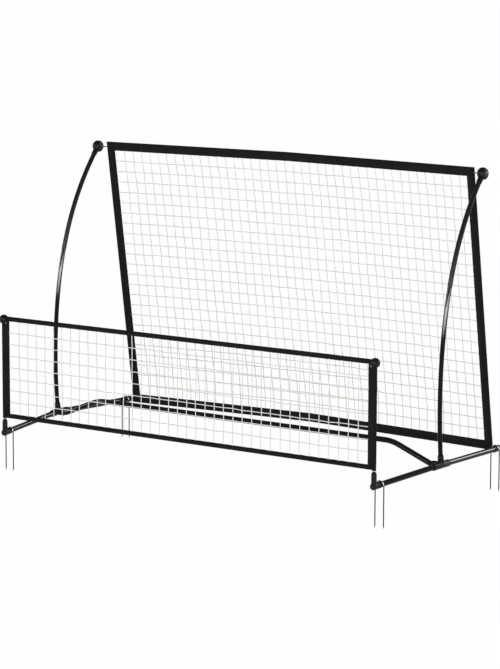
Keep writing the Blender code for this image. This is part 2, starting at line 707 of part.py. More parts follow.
def tall_sleeves():
    side_centre = TALL_HEIGHT / 2
    for side, label in ((-1, "left"), (1, "right")):
        band = sleeve(f"tall_sleeve_{label}", TALL_TUBE_R, TALL_SLEEVE_W, side_centre, tall,
                      (side * TALL_SIDE_X, 0, side_centre), (-side, 0, 0), UP, mitre=True)
        edge = side * (TALL_SIDE_X + tall_outer * 2)
        high = TALL_HEIGHT - HUB_DROP
        combine(band, [
            rod(f"{band.name}_low_hole", (side * TALL_SIDE_X, 0, 0), (edge, 0, 0),
                PIVOT_BOLT_R + BOLT_GAP * 2, tall, sides=SMALL_SIDES, cutter=True),
            rod(f"{band.name}_high_hole", (side * TALL_SIDE_X, -HUB_FORWARD, high),
                (edge, -HUB_FORWARD, high),
                BOLT_R + BOLT_GAP * 2, tall, sides=SMALL_SIDES, cutter=True),
        ], "DIFFERENCE")
    for place, z, inward in (("top", TALL_HEIGHT, -UP), ("bottom", 0.0, UP)):
        band = sleeve(f"tall_sleeve_{place}", TALL_TUBE_R, TALL_SLEEVE_W, TALL_SIDE_X, tall,
                      (0, 0, z), inward, ACROSS, mitre=True)
        crease(band, z)


def low_frame(side, label):
    """One post with its nipple, its knob, its rivet and half of each bar."""
    x = side * FRONT_X
    inboard = Vector((-side, 0, 0))
    knob = Vector((x, 0, LOW_TOP_Z))
    post_foot = RAIL_R + FRONT_SOCKET_FLOOR + SEAT_GAP
    name = f"low_post_{label}"
    body = rod(name, (x, 0, post_foot), knob - UP * (KNOB_SEAT + SEAT_GAP), LOW_TUBE_R, low)
    joint = Vector((x, 0, LOW_BOTTOM_Z))
    nipple_r = LOW_TUBE_R - TUBE_WALL - FIT_GAP
    combine(body, [rod(name + "_nipple", joint,
                       joint + inboard * (LOW_TUBE_R + NIPPLE_LENGTH), nipple_r, low,
                       cutter=True)], "UNION")
    combine(body, [rod(name + "_bore", (x, 0, 0), knob, LOW_TUBE_R - TUBE_WALL, low,
                       cutter=True)], "DIFFERENCE")
    finish(body, BLACK_TUBE)
    middle = 0.0 if side < 0 else SWAGE
    plug = ACROSS if side < 0 else None
    tube(f"low_bottom_bar_{label}", [joint + inboard * (LOW_TUBE_R + SEAT_GAP),
                                     (middle, 0, LOW_BOTTOM_Z)], LOW_TUBE_R, low, plug)
    tube(f"low_top_bar_{label}", [knob + inboard * (KNOB_SEAT + LOW_TUBE_R + SEAT_GAP),
                                  (middle, 0, LOW_TOP_Z)], LOW_TUBE_R, low, plug)
    name = f"low_knob_{label}"
    top = ball(name, knob, KNOB_R, low)
    bore = LOW_TUBE_R + SEAT_GAP
    combine(top, [
        rod(name + "_post_bore", knob - UP * KNOB_SEAT, knob - UP * KNOB_R * 2, bore, low,
            cutter=True),
        rod(name + "_bar_bore", knob + inboard * (KNOB_SEAT + LOW_TUBE_R),
            knob + inboard * KNOB_R * 2, bore, low, cutter=True),
    ], "DIFFERENCE")
    finish(top, BLACK_PLASTIC)


def low_sleeves():
    bottom_edge = LOW_BOTTOM_Z - low_outer + LOW_BAR_W
    top_edge = LOW_TOP_Z + low_outer - LOW_BAR_W
    bottom = sleeve("low_sleeve_bottom", LOW_TUBE_R, LOW_BAR_W, FRONT_X + low_outer, low,
                    (0, 0, LOW_BOTTOM_Z), UP, ACROSS)
    post_hole = LOW_TUBE_R + SEAT_GAP
    combine(bottom, [rod(f"low_sleeve_bottom_hole_{label}", (side * FRONT_X, 0, 0),
                         (side * FRONT_X, 0, LOW_TOP_Z / 2), post_hole, low, cutter=True)
                     for side, label in ((-1, "left"), (1, "right"))], "DIFFERENCE")
    sleeve("low_sleeve_top", LOW_TUBE_R, LOW_BAR_W, FRONT_X - KNOB_R - SEAT_GAP, low,
           (0, 0, LOW_TOP_Z), -UP, ACROSS)
    foot = bottom_edge + SEAT_GAP
    head = top_edge - SEAT_GAP
    for side, label in ((-1, "left"), (1, "right")):
        x = side * FRONT_X
        band = sleeve(f"low_sleeve_{label}", LOW_TUBE_R, LOW_SIDE_W, (head - foot) / 2, low,
                      (x, 0, (head + foot) / 2), (-side, 0, 0), UP)
        knob = Vector((x, 0, LOW_TOP_Z))
        rivet = Vector((x - side * RIVET_DX, 0, LOW_TOP_Z - RIVET_DZ))
        combine(band, [
            ball(f"{band.name}_knob_room", knob, KNOB_R + SEAT_GAP, low, cutter=True),
            rod(f"{band.name}_rivet_hole", rivet - Vector((0, low_outer * 2, 0)),
                rivet + Vector((0, low_outer * 2, 0)), RIVET_R + SEAT_GAP, low,
                sides=SMALL_SIDES, cutter=True),
        ], "DIFFERENCE")
        half = rivet_seat() + SEAT_GAP
        head_profile = [(0, half + RIVET_HEAD_H), (RIVET_HEAD_R, half), (RIVET_R, half)]
        profile = head_profile + [(r, -h) for r, h in reversed(head_profile)]
        finish(turned(f"low_rivet_{label}", profile, low, rivet, (0, -1, 0), SMALL_SIDES), STEEL)


def rivet_seat():
    """Half the band's thickness where the rivet's head touches it, on its thick side."""
    tail = LOW_SIDE_W - low_outer
    edge = SLEEVE_EDGE / 2
    slope = math.asin((low_outer - edge) / math.hypot(tail, low_outer - edge))
    near_post = RIVET_DX - RIVET_HEAD_R
    return edge + (tail - near_post) * math.tan(slope)


def nets():
    inner = tall_outer - TALL_SLEEVE_W
    net("tall_net", TALL_SIDE_X + inner - SEAT_GAP, -inner + SEAT_GAP,
        TALL_HEIGHT + inner - SEAT_GAP, TALL_NET_COLUMNS, TALL_NET_ROWS, tall, bowed)
    bottom_edge = LOW_BOTTOM_Z - low_outer + LOW_BAR_W
    top_edge = LOW_TOP_Z + low_outer - LOW_BAR_W
    net("low_net", FRONT_X + low_outer - LOW_SIDE_W - SEAT_GAP, bottom_edge + SEAT_GAP,
        top_edge - SEAT_GAP, LOW_NET_COLUMNS, LOW_NET_ROWS, low)


def peg(side, label, place, y):
    """A U-shaped ground peg hooked over a rail fitting; its empty slides straight up."""
    front, centre, rear = rail_frame(side)
    start, end = (front, centre) if place == "front" else (rear, centre)
    share = (y - start.y) / (end.y - start.y)
    axis = start.lerp(end, share)
    lift = empty(f"peg_{place}_{label}_lift", (axis.x, y, axis.z), assembly)
    crown = corner_r / math.cos((end - start).angle(Vector((0, end.y - start.y, 0)))) \
        + SEAT_GAP + PEG_R
    arch_base = crown - PEG_HALF
    tip = GROUND_Z - axis.z
    arch = []
    for i in range(ARCH_STEPS + 1):
        angle = math.pi * i / ARCH_STEPS
        arch.append((-PEG_HALF * math.cos(angle), 0, arch_base + PEG_HALF * math.sin(angle)))
    points = [(-PEG_HALF, 0, tip), (-PEG_HALF, 0, tip + PEG_TIP)] + arch \
        + [(PEG_HALF, 0, tip + PEG_TIP), (PEG_HALF, 0, tip)]
    radii = [PEG_TIP_R / PEG_R] + [1.0] * (len(points) - 2) + [PEG_TIP_R / PEG_R]
    wire(f"peg_{place}_{label}", points, PEG_R, STEEL, lift, PEG_BEVEL_STEPS, radii)


for side, label in ((-1, "left"), (1, "right")):
    rails(side, label)
    tee(side, label)
    crossbar(side, label)
    pole(side, label)
    hub(side, label)
    front_corner(side, label)
    rail_end(side, label)
    tall_bars(side, label)
    low_frame(side, label)
    peg(side, label, "front", PEG_FRONT_Y)
    peg(side, label, "rear", PIVOT_Y - PEG_REAR_SETBACK)
tall_sleeves()
low_sleeves()
nets()
bpy.context.view_layer.update()
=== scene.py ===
# %% [markdown]
# # A football rebounder
# A football rebounder is a garden frame that sends a ball back to the player. A tall net
# leans over the player from behind, a low upright net stands in front of it, and both hang
# in bands of black cloth on a frame of thin black tube. This lesson dresses the engineering
# model of that frame: the model gives every place, and the cells give each piece its real
# surface and finish.

# %% The frame
import math

import bmesh
import bpy
import numpy as np
from mathutils import Matrix, Vector


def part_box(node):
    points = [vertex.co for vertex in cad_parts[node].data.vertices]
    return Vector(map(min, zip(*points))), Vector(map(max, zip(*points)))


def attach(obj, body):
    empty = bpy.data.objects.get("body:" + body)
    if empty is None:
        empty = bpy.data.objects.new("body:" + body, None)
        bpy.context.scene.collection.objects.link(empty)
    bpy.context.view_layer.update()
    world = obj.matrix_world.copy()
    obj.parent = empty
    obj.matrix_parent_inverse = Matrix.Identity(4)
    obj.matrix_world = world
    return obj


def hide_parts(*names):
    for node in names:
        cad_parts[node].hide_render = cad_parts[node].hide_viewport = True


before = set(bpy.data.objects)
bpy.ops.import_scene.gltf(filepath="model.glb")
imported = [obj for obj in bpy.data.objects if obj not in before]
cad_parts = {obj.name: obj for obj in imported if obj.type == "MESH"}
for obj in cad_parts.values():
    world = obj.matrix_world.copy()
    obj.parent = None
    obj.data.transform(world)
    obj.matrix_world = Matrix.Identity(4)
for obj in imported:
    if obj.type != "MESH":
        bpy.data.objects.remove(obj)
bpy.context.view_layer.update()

# %% [markdown]
# ## Where things are
# All sizes were measured from the rails: X runs along the nets, Y away from the player and Z
# up, from the axis of the rails. One shift brings them to the model's own origin, which lies
# on the ground in the middle of the frame's depth. Keeping the measured numbers makes each
# of them easy to find again on the real frame.

# %% Measured places, in metres from the rails' axis
SHIFT = np.array([0.0, -0.459979, 0.163])
BACK = np.array([0.0, 1.0, 0.0])
UP = np.array([0.0, 0.0, 1.0])
ACROSS = np.array([1.0, 0.0, 0.0])

FRONT_X, TEE_X, REAR_X, SIDE_X = 0.887, 0.9345, 0.917, 0.8805
TEE_Y, TEE_Z, FOLD_Y, FOLD_Z = 0.405, 0.019, 0.880, 0.004
LEAN, TALL, TOP_BOW, BOTTOM_BOW = math.radians(9.1), 1.135, 0.031, 0.043
LOW_Y, LOW_BOTTOM, LOW_TOP = 0.003, 0.0705, 0.4715
RAIL_R, POLE_R, POLE_FOOT_R, BAR_R, POST_R = 0.011, 0.0095, 0.009, 0.0095, 0.007
WALL, GAP, TALL_OUT = 0.0012, 0.0003, 0.011
SIDES = ((-1, "left"), (1, "right"))

PANEL_UP = np.array([0.0, -math.sin(LEAN), math.cos(LEAN)])
PANEL_BACK = np.array([0.0, math.cos(LEAN), math.sin(LEAN)])
PANEL_FOOT = np.array([0.0, FOLD_Y, FOLD_Z])
HUB_BOLT = PANEL_FOOT + PANEL_UP * (TALL - 0.010) - PANEL_BACK * 0.005
HUB = HUB_BOLT - BACK * 0.005


def spot(x, y, z):
    """A point measured from the rails, as an array."""
    return np.array([x, y, z], dtype=float)


def unit(v):
    """A vector cut to length one."""
    return np.asarray(v, dtype=float) / np.linalg.norm(v)


def placed(name, data):
    """A new object of a mesh, lamp or camera, put into the scene."""
    obj = bpy.data.objects.new(name, data)
    bpy.context.scene.collection.objects.link(obj)
    return obj


print("hub", HUB.round(4), "panel leans", round(math.degrees(LEAN), 1), "degrees")

# %% [markdown]
# ## The camera
# The photograph was taken with a long lens from the front right, a little above the nets.
# The camera's place was solved from forty points of the frame whose sizes are known, so it
# is written here as turns about the frame and a distance. A long lens keeps the far side
# almost as large as the near one.

# %% Camera
YAW, PITCH, ROLL = math.radians(34.66), math.radians(9.25), math.radians(0.19)
AIM, DISTANCE, OFF_AXIS = spot(0.0, 0.4, 0.5), 11.21387858, (0.0409, -0.0626)
FOCAL, PHOTO_SIDE, FILM = 2815.0, 669.0, 36.0

ahead = spot(-math.sin(YAW) * math.cos(PITCH), math.cos(YAW) * math.cos(PITCH), -math.sin(PITCH))
right = spot(math.cos(YAW), math.sin(YAW), 0.0)
over = np.cross(right, ahead)
cam_x = math.cos(ROLL) * right + math.sin(ROLL) * over
cam_y = -math.sin(ROLL) * right + math.cos(ROLL) * over
eye = AIM + SHIFT - ahead * DISTANCE + cam_x * OFF_AXIS[0] + cam_y * OFF_AXIS[1]

lens = bpy.data.cameras.new("photo_camera")
lens.sensor_width = FILM
lens.lens = FOCAL / PHOTO_SIDE * FILM
lens.clip_end = 200.0
camera = placed("photo_camera", lens)
camera.matrix_world = Matrix(np.column_stack([
    np.append(cam_x, 0), np.append(cam_y, 0), np.append(-ahead, 0), np.append(eye, 1)]).tolist())
bpy.context.scene.camera = camera
print("camera at", eye.round(3), "with a", round(lens.lens, 1), "mm lens")

# %% [markdown]
# ## Surfaces from arrays
# Every new piece is a grid of points that one formula gives at once. `skin` turns such a
# grid into a mesh: it joins each point to its neighbours, closes the grid where it runs
# round, and turns the faces outwards by looking at the sign of the enclosed volume. Rings
# that shrink to a point are merged, so poles are closed.

# %% From a grid to a mesh
PIECES = []


def quads(rows, cols, closed=False):
    """The corners of a grid's quads. Its columns run round, and its rows too if closed."""
    i, j = np.meshgrid(np.arange(rows if closed else rows - 1), np.arange(cols), indexing="ij")
    below, beside = (i + 1) % rows * cols, (j + 1) % cols
    return np.stack([i * cols + j, i * cols + beside, below + beside, below + j], -1)


def made_mesh(name, points, faces):
    """A mesh of points and of faces that name them by number."""
    mesh = bpy.data.meshes.new(name)
    mesh.from_pydata(points.tolist(), [], faces.tolist())
    return mesh


def welded(mesh, turned=False):
    """The mesh with its poles merged, and its faces turned outwards if asked."""
    bm = bmesh.new()
    bm.from_mesh(mesh)
    bmesh.ops.remove_doubles(bm, verts=bm.verts, dist=1e-6)
    bmesh.ops.dissolve_degenerate(bm, edges=bm.edges, dist=1e-7)
    if turned:
        bmesh.ops.recalc_face_normals(bm, faces=bm.faces)
    bm.to_mesh(mesh)
    bm.free()
    return mesh


def skin(name, grid, body, material, node, uv=None, closed=False):
    """A closed mesh from points (..., rows, columns, 3), its quads turned outwards: over
    them corner 0 . (corner 2 x (corner 3 - corner 1)) adds up to six times the volume."""
    rows, cols = grid.shape[-3:-1]
    points = grid.reshape(-1, 3)
    sheets = len(points) // (rows * cols)
    ring = quads(rows, cols, closed).reshape(-1, 4)
    faces = (ring + np.arange(sheets)[:, None, None] * rows * cols).reshape(-1, 4)
    a, b, c, d = np.moveaxis(points[faces] - points[0], 1, 0)
    order = [0, 1, 2, 3] if (a * np.cross(c, d - b)).sum() > 0 else [3, 2, 1, 0]
    mesh = made_mesh(name, points, faces[:, order])
    if uv is not None:
        low, high = uv[:-1], uv[1:]
        at = np.stack([low[:, :-1], low[:, 1:], high[:, 1:], high[:, :-1]], -2)
        at = np.tile(at.reshape(-1, 4, 2)[:, order], (sheets, 1, 1))
        mesh.uv_layers.new(name="UVMap").data.foreach_set("uv", at.astype(np.float32).ravel())
    return piece(name, mesh, body, material, node)


def piece(name, mesh, body, material, node, smooth=40.0):
    """Makes a mesh a piece that rides on a body and takes a node's place."""
    welded(mesh).shade_smooth()
    mesh.set_sharp_from_angle(angle=math.radians(smooth))
    mesh.materials.append(material)
    obj = placed(name, mesh)
    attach(obj, body)
    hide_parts(node)
    PIECES.append(obj)
    return obj


# %% [markdown]
# Most pieces are tubes or turned parts. A tube is a circle carried along a path that lies in
# a plane, so the plane's normal gives the circle a frame that never twists. A turned part is
# a profile of radius and height carried round an axis.

# %% Tubes and turned parts
TUBE_SIDES, WRAP = 48, ((0, 1), (0, 1))


def run_along(path):
    """The length run from a path's first point to each of its points."""
    return np.append(0.0, np.cumsum(np.linalg.norm(np.diff(path, axis=0), axis=1)))


def circle(u, v, sides):
    """Points of a circle of radius one: cos angle * u + sin angle * v."""
    angle = np.linspace(0.0, 2.0 * math.pi, sides, endpoint=False)
    return np.cos(angle)[:, None] * u + np.sin(angle)[:, None] * v


def around(path, normal, radii, sides):
    """Rings about a path: circles of the plane's normal and of what is square to both it
    and the path."""
    way = np.gradient(path, axis=0)
    way /= np.linalg.norm(way, axis=1, keepdims=True)
    normal = unit(normal)
    ring = circle(normal, np.cross(way, normal)[:, None, :], sides)
    return path[:, None, :] + radii[:, None, None] * ring


def pipe(name, path, normal, outer, body, material, node):
    """A hollow tube: rings of the outer radius out, rings of the bore back, closed round.
    Its pattern is metres along it, and how far its face looks down, from -1 to 1."""
    path = path + SHIFT
    outer = np.broadcast_to(outer, len(path))
    out = around(path, normal, outer, TUBE_SIDES)
    bore = around(path, normal, outer - WALL, TUBE_SIDES)
    under = (path[:, None, 2] - out[..., 2]) / outer[:, None]
    pattern = np.stack([np.broadcast_to(run_along(path)[:, None], under.shape), under], -1)
    pattern = np.pad(np.concatenate([pattern, pattern[::-1]]), WRAP + ((0, 0),), "wrap")
    return skin(name, np.concatenate([out, bore[::-1]]), body, material, node, pattern,
                closed=True)


def lathe(profile, foot, axis, sides=TUBE_SIDES):
    """Rings of a turned part: foot + height * axis + radius * circle, for each (radius,
    height) of the profile."""
    profile = np.asarray(profile, dtype=float)
    u = unit(np.cross(axis, ACROSS if abs(axis[0]) < 0.7 else UP))
    middle = foot + SHIFT + profile[:, 1:2] * axis
    ring = circle(u, np.cross(axis, u), sides)
    return middle[:, None, :] + profile[:, :1, None] * ring


def arc(radius, height, size, start, stop):
    """Points of a rounded edge in a profile, about (radius, height), from start to stop."""
    angle = np.radians(np.linspace(start, stop, 5))
    return [(radius + size * math.cos(a), height + size * math.sin(a)) for a in angle]


print("tubes have", TUBE_SIDES, "sides")

# %% [markdown]
# ## Shader maths as arithmetic
# A finish is a formula too: grain plus scuffs, a colour that leans towards dust where a
# mask says so. `Surface` adds nodes to one material, and `Value` wraps what comes out of a
# node, so that `1 - mask * 0.3` adds the Math nodes by itself.

# %% A small language for finishes
class Value:
    """A number that varies over a surface. Its operators add Math nodes."""

    def __init__(self, surface, socket):
        self.surface = surface
        self.socket = socket

    def math(self, operation, a, b=None, clamp=False):
        values = {0: a} if b is None else {0: a, 1: b}
        return self.surface.node("ShaderNodeMath", {"operation": operation, "use_clamp": clamp},
                                 values)

    def __add__(self, other):
        return self.math("ADD", self, other)

    def __sub__(self, other):
        return self.math("SUBTRACT", self, other)

    def __mul__(self, other):
        return self.math("MULTIPLY", self, other)

    def __rsub__(self, other):
        return self.math("SUBTRACT", other, self)

    __radd__ = __add__
    __rmul__ = __mul__

    def apply(self, operation, other=None):
        """Any other one- or two-number operation, such as SINE or MAXIMUM."""
        return self.math(operation, self, other)

    def clamped(self):
        """The number kept between 0 and 1."""
        return self.math("ADD", self, 0.0, clamp=True)


class Surface:
    """One material: its shader, and one method that adds any node."""

    def __init__(self, name, slot=None, **constants):
        self.material = bpy.data.materials.new(name)
        self.material.use_nodes = True
        self.nodes = self.material.node_tree.nodes
        self.links = self.material.node_tree.links
        self.shader = self.nodes["Principled BSDF"]
        for socket, value in constants.items():
            self.shader.inputs[socket.replace("_", " ")].default_value = value

    def node(self, kind, settings=None, values=None, out=0):
        """Adds a node, sets its settings, then its sockets' values or links."""
        made = self.nodes.new(kind)
        for key, value in (settings or {}).items():
            setattr(made, key, value)
        for key, value in (values or {}).items():
            if isinstance(value, Value):
                self.links.new(value.socket, made.inputs[key])
            else:
                made.inputs[key].default_value = value
        return Value(self, made.outputs[out])

    def place(self, kind="Object"):
        """Where a point lies, in metres, or in the piece's own pattern."""
        return self.node("ShaderNodeTexCoord", out=kind)

    def noise(self, scale, detail=3.0, stretch=None):
        """Cloudy noise from 0 to 1, scale cycles to the metre, stretched along an axis."""
        at = self.place()
        if stretch:
            at = self.node("ShaderNodeMapping", values={"Vector": at, "Scale": stretch})
        return self.node("ShaderNodeTexNoise", values={
            "Vector": at, "Scale": scale, "Detail": detail, "Roughness": 0.55}, out="Fac")

    def ramp(self, factor, low, high):
        """0 under low, 1 over high, straight between."""
        return self.node("ShaderNodeMapRange", values={
            "Value": factor, "From Min": low, "From Max": high}, out="Result")

    def mix(self, factor, first, second):
        """A colour between two, by a factor."""
        return self.node("ShaderNodeMix", {"data_type": "RGBA"},
                         {0: factor, 6: first, 7: second}, out=2)

    def axis(self, kind, number):
        """One coordinate of a point, by its number, in metres or in the piece's pattern."""
        return self.node("ShaderNodeSeparateXYZ", values={0: self.place(kind)}, out=number)

    def finish(self, colour, roughness=None, height=None, depth=0.0001, coat=None):
        """Feeds the shader, and a Bump node whose height is depth metres."""
        for socket, value in (("Base Color", colour), ("Roughness", roughness),
                              ("Coat Weight", coat)):
            if value is not None:
                self.links.new(value.socket, self.shader.inputs[socket])
        if height is not None:
            bump = self.node("ShaderNodeBump", values={
                "Height": height, "Distance": depth, "Strength": 1.0}, out="Normal")
            self.links.new(bump.socket, self.shader.inputs["Normal"])
        return self.material


def grey(value, warm=0.0):
    """A nearly neutral colour with its opacity, a little warmer or cooler."""
    return (value * (1 + warm), value, value * (1 - warm), 1.0)


# %% [markdown]
# ## Finishes
# The tubes are steel under glossy black powder coat, which flows out with a faint orange
# peel and picks up dust and fine rub marks. The fittings are moulded plastic with a fine
# spark-eroded grain. Both are black, so what tells them apart is only how sharp their
# reflections are: the tube shows a hard white line, the plastic a soft grey one.

# %% Powder coat and moulded plastic
def powder_coat(name, gloss, clear, painted_highlight_span=None, painted_ring_at=None, spread=0.06):
    """Black coat: long soft waves for the orange peel, and thin rub marks that dull it.
    The undersides lose most of their coat, so they mirror little of the white floor:
    painted shade. Over a span of length given for the lower poles the coat grows to full:
    a painted highlight below their joint. At one length given for the posts a pale ring is
    painted round the tube: a painted highlight."""
    s = Surface(name, "black_tube", Coat_Roughness=spread, Specular_IOR_Level=0.04)
    along, down = s.axis("UV", 0), s.axis("UV", 1)
    # Painted shade: the undersides lose most of their coat, so they mirror little of the white
    # floor.
    under = s.ramp(down, -0.30, 0.25)
    peel = s.noise(420.0, 2.0)
    cloud = s.noise(9.0, 4.0)
    rubs = s.ramp(s.noise(60.0, 5.0, stretch=(0.4, 3.0, 3.0)), 0.62, 0.74)
    dust = s.ramp(s.noise(150.0, 6.0), 0.60, 0.80) * 0.5 + s.ramp(cloud, 0.45, 0.75) * 0.5
    colour = s.mix(dust * 0.35, grey(0.0022), grey(0.0062, 0.03))
    rough = gloss + cloud * 0.08 + rubs * 0.16
    if painted_ring_at:
        # Painted highlight: a narrow pale ring round the tube at the given length.
        painted_ring = 1.0 - s.ramp((along - painted_ring_at).apply("ABSOLUTE"), 0.0012, 0.0018)
        colour = s.mix(painted_ring, colour, grey(0.34, 0.01))
    coat = (clear - rubs * 0.35) * (1.0 - under * 0.85)
    # Painted highlight: the coat grows to full over the given span of length and stays full
    # beyond it.
    if painted_highlight_span:
        coat = coat + s.ramp(along, *painted_highlight_span) * (1.0 - clear)
    return s.finish(colour, rough.clamped(), peel + rubs * 0.3, 0.00003, coat.clamped())


def moulded(name):
    """Black plastic: a fine grain of two sizes, faint flow marks, and dust that pales it along
    the flow marks and at rub marks.
    """
    s = Surface(name, "black_plastic", Specular_IOR_Level=0.14)
    grain = s.noise(2600.0, 2.0) * 0.6 + s.noise(900.0, 3.0) * 0.4
    flow = s.noise(38.0, 4.0, stretch=(1.0, 1.0, 2.5))
    rubs = s.ramp(s.noise(95.0, 6.0), 0.60, 0.72)
    pale = s.ramp(flow, 0.35, 0.75) * 0.6 + rubs * 0.4
    colour = s.mix(pale, grey(0.0026), grey(0.0062, 0.02))
    rough = 0.34 + flow * 0.14 + rubs * 0.10
    return s.finish(colour, rough.clamped(), grain + flow * 0.4, 0.00012)


gloss_coat = powder_coat("glossy black powder coat", 0.14, 0.44)
# The lower poles carry a painted highlight: full coat from 0.47 to 0.60 m along them, and
# beyond, up to their joint.
pole_coat = powder_coat("black powder coat of the lower poles", 0.14, 0.30,
                        painted_highlight_span=(0.47, 0.60))
# The posts carry a painted highlight: a pale ring just above the socket, under the band.
post_coat = powder_coat("black powder coat of the posts", 0.34, 0.10, painted_ring_at=0.0427)
satin_coat = powder_coat("satin black powder coat", 0.34, 0.70, spread=0.30)
plastic = moulded("grained black plastic")
print("black finishes ready")

# %% [markdown]
# The bands are woven polyester webbing. The pattern follows the cloth, so it is worked out
# from the band's own coordinates: metres along it, and metres from the edge where the net is
# sewn in. Two waves that push against each other make the plain weave, and dashes at fixed
# distances from the edge are the rows of stitches.

# %% Woven band with its stitches
STITCH_ROWS = (0.0045, 0.0085, 0.0205)
STITCH, YARN = 0.0042, 0.00085


def woven(name):
    """Plain weave: yarns along and across cross over and under each other, so the height
    is the larger of two half waves that swap from one crossing to the next."""
    s = Surface(name, "black_fabric", Sheen_Weight=0.012, Sheen_Roughness=0.55,
                Specular_IOR_Level=0.06)
    along, across = s.axis("UV", 0), s.axis("UV", 1)
    turn = math.pi / YARN
    over_a = (along * turn).apply("SINE").apply("ABSOLUTE")
    over_b = (across * turn).apply("SINE").apply("ABSOLUTE")
    turns = (along * turn).apply("COSINE") * (across * turn).apply("COSINE")
    upper = s.ramp(turns, -0.5, 0.5)
    weave = upper * over_a + (1.0 - upper) * over_b
    row = 0.0
    for place in STITCH_ROWS:
        line = 1.0 - s.ramp((across - place).apply("ABSOLUTE"), 0.00030, 0.00065)
        row = line.apply("MAXIMUM", row)
    shown = s.ramp((along * (2.0 * math.pi / STITCH)).apply("SINE"), -0.35, 0.05)
    thread = (row * shown).clamped()
    dimple = row * (1.0 - shown)
    fade = s.noise(14.0, 4.0)
    fluff = s.noise(700.0, 3.0)
    pale = s.ramp(fade, 0.35, 0.7) * 0.5 + fluff * 0.5
    yarn = s.mix(pale, grey(0.0030), grey(0.0080, 0.02))
    colour = s.mix(thread, yarn, grey(0.018, 0.02))
    height = weave * 0.35 + fluff * 0.15 + thread * 0.9 - dimple * 0.8
    return s.finish(colour, (0.74 + fluff * 0.12 - thread * 0.12).clamped(), height, 0.00028)


cloth = woven("black woven band")
print("weave of", YARN * 1000, "mm yarn, stitches", STITCH * 1000, "mm long")

# %% [markdown]
# The net cord is braided from pale yarn. Two families of slanted strands cross on it, one
# each way round, and the higher of the two shows. The pegs, bolts and rivets are zinc-plated
# steel: drawn wire carries fine lines along it, and the plating has a cloudy bloom.

# %% Cord and steel
CORD_R, KNOT_R, BRAID = 0.0018, 0.0027, 0.0045


def braided(name):
    """Braid: two waves that wind opposite ways round the cord, taken as their maximum."""
    s = Surface(name, "net_cord", Sheen_Weight=0.10, Specular_IOR_Level=0.3)
    along, about = s.axis("UV", 0), s.axis("UV", 1)
    wind = about * (3.0 / CORD_R)
    lay = along * (2.0 * math.pi / BRAID)
    braid = (lay + wind).apply("SINE").apply("MAXIMUM", (lay - wind).apply("SINE"))
    soil = s.noise(6.0, 4.0)
    fluff = s.noise(1500.0, 2.0)
    light = s.mix(s.ramp(soil, 0.35, 0.75) * 0.5, grey(0.56, 0.03), grey(0.45, 0.045))
    # Painted shade: the grooves between the strands, where the braid is low, are darkened.
    colour = s.mix(s.ramp(braid, 0.55, -0.1) * 0.45, light, grey(0.29, 0.05))
    return s.finish(colour, (0.68 + fluff * 0.2).clamped(), braid + fluff * 0.4, 0.00022)


def zinc(name, tone, painted_glint_heights=None):
    """Zinc on steel: cloudy bloom in colour and roughness, fine drawn lines in the bump.
    From the first of two heights given to the second the metal is painted paler and
    smoother: a painted glint."""
    s = Surface(name, "zinc_steel", Metallic=1.0)
    lines = s.noise(1400.0, 3.0, stretch=(1.0, 1.0, 0.05))
    bloom = s.noise(120.0, 5.0)
    spots = s.ramp(s.noise(420.0, 4.0), 0.66, 0.76)
    colour = s.mix(s.ramp(bloom, 0.35, 0.7), grey(tone, 0.01), grey(tone * 0.72, -0.01))
    colour = s.mix(spots * 0.5, colour, grey(tone * 0.45, 0.05))
    rough = 0.24 + bloom * 0.16 + spots * 0.2 + lines * 0.05
    if painted_glint_heights:
        # Painted glint: from the given height up the metal turns pale and smooth.
        painted_glint = s.ramp(s.axis("Object", 2), *painted_glint_heights)
        colour = s.mix(painted_glint, colour, grey(0.40, 0.01))
        rough = rough * (1.0 - painted_glint * 0.6)
    return s.finish(colour, rough.clamped(), lines + bloom * 0.3, 0.00005)


cord = braided("pale braided cord")
steel = zinc("zinc-plated steel", 0.17)
# The pegs' crowns carry a painted glint: pale smooth metal from 0.160 m up, full above 0.172 m.
peg_steel = zinc("dark zinc-plated wire", 0.028, painted_glint_heights=(0.160, 0.172))
print("cord is", CORD_R * 2000, "mm thick")

# %% [markdown]
# ## Rails
# Two rails on each side run from a ball-ended corner to the tee and on to the fold fitting.
# They are plain tube, so each is a circle carried along a straight line. Sixteen rings are
# more than a straight tube needs, and keep its shading even.

# %% Rails
RAIL_INSET, TEE_INSET = 0.0068, 0.0073


def straight(a, b, steps=16):
    """Evenly spaced points from a to b."""
    return a + np.linspace(0.0, 1.0, steps)[:, None] * (b - a)


def side_points(side):
    """The three points that a side's rails join: corner ball, tee, rear ball."""
    return (spot(side * FRONT_X, 0, 0), spot(side * TEE_X, TEE_Y, TEE_Z),
            spot(side * REAR_X, FOLD_Y, FOLD_Z))


for side, label in SIDES:
    front, tee, rear = side_points(side)
    for place, end in (("front", front), ("rear", rear)):
        way = unit(end - tee)
        path = straight(end - way * RAIL_INSET, tee + way * TEE_INSET)
        pipe(f"{place}_rail_{label}", path, np.cross(way, UP), RAIL_R, "base", gloss_coat,
             f"rail_{place}_{label}")
print("rails", len(PIECES))

# %% [markdown]
# ## Crossbar
# The crossbar leaves each tee level, climbs, and turns over a wide bend into the straight
# across, in two halves. The left half is swaged: its end is drawn down to slide into the
# right half, which leaves a hairline joint in the middle. A bend is an arc that touches both
# straights, so its path is the straights cut back by radius * tan(angle / 2) with the arc
# between.

# %% Crossbar
FOOT_R, BEND_R, CLIMB, RISE = 0.050, 0.180, math.radians(21.7), 0.0695
INNER_ARM = 0.034
JOINT_LINE, NECK_SLACK, NECK, BEND_STEPS, DENSE = 0.0004, 0.0005, 0.045, 24, 0.03


def dense(path):
    """The same path with a point on every 30 mm of its long straights."""
    parts = [straight(a, b, max(2, int(np.linalg.norm(b - a) / DENSE) + 1))[:-1]
             for a, b in zip(path, path[1:])]
    return np.concatenate(parts + [path[-1:]])


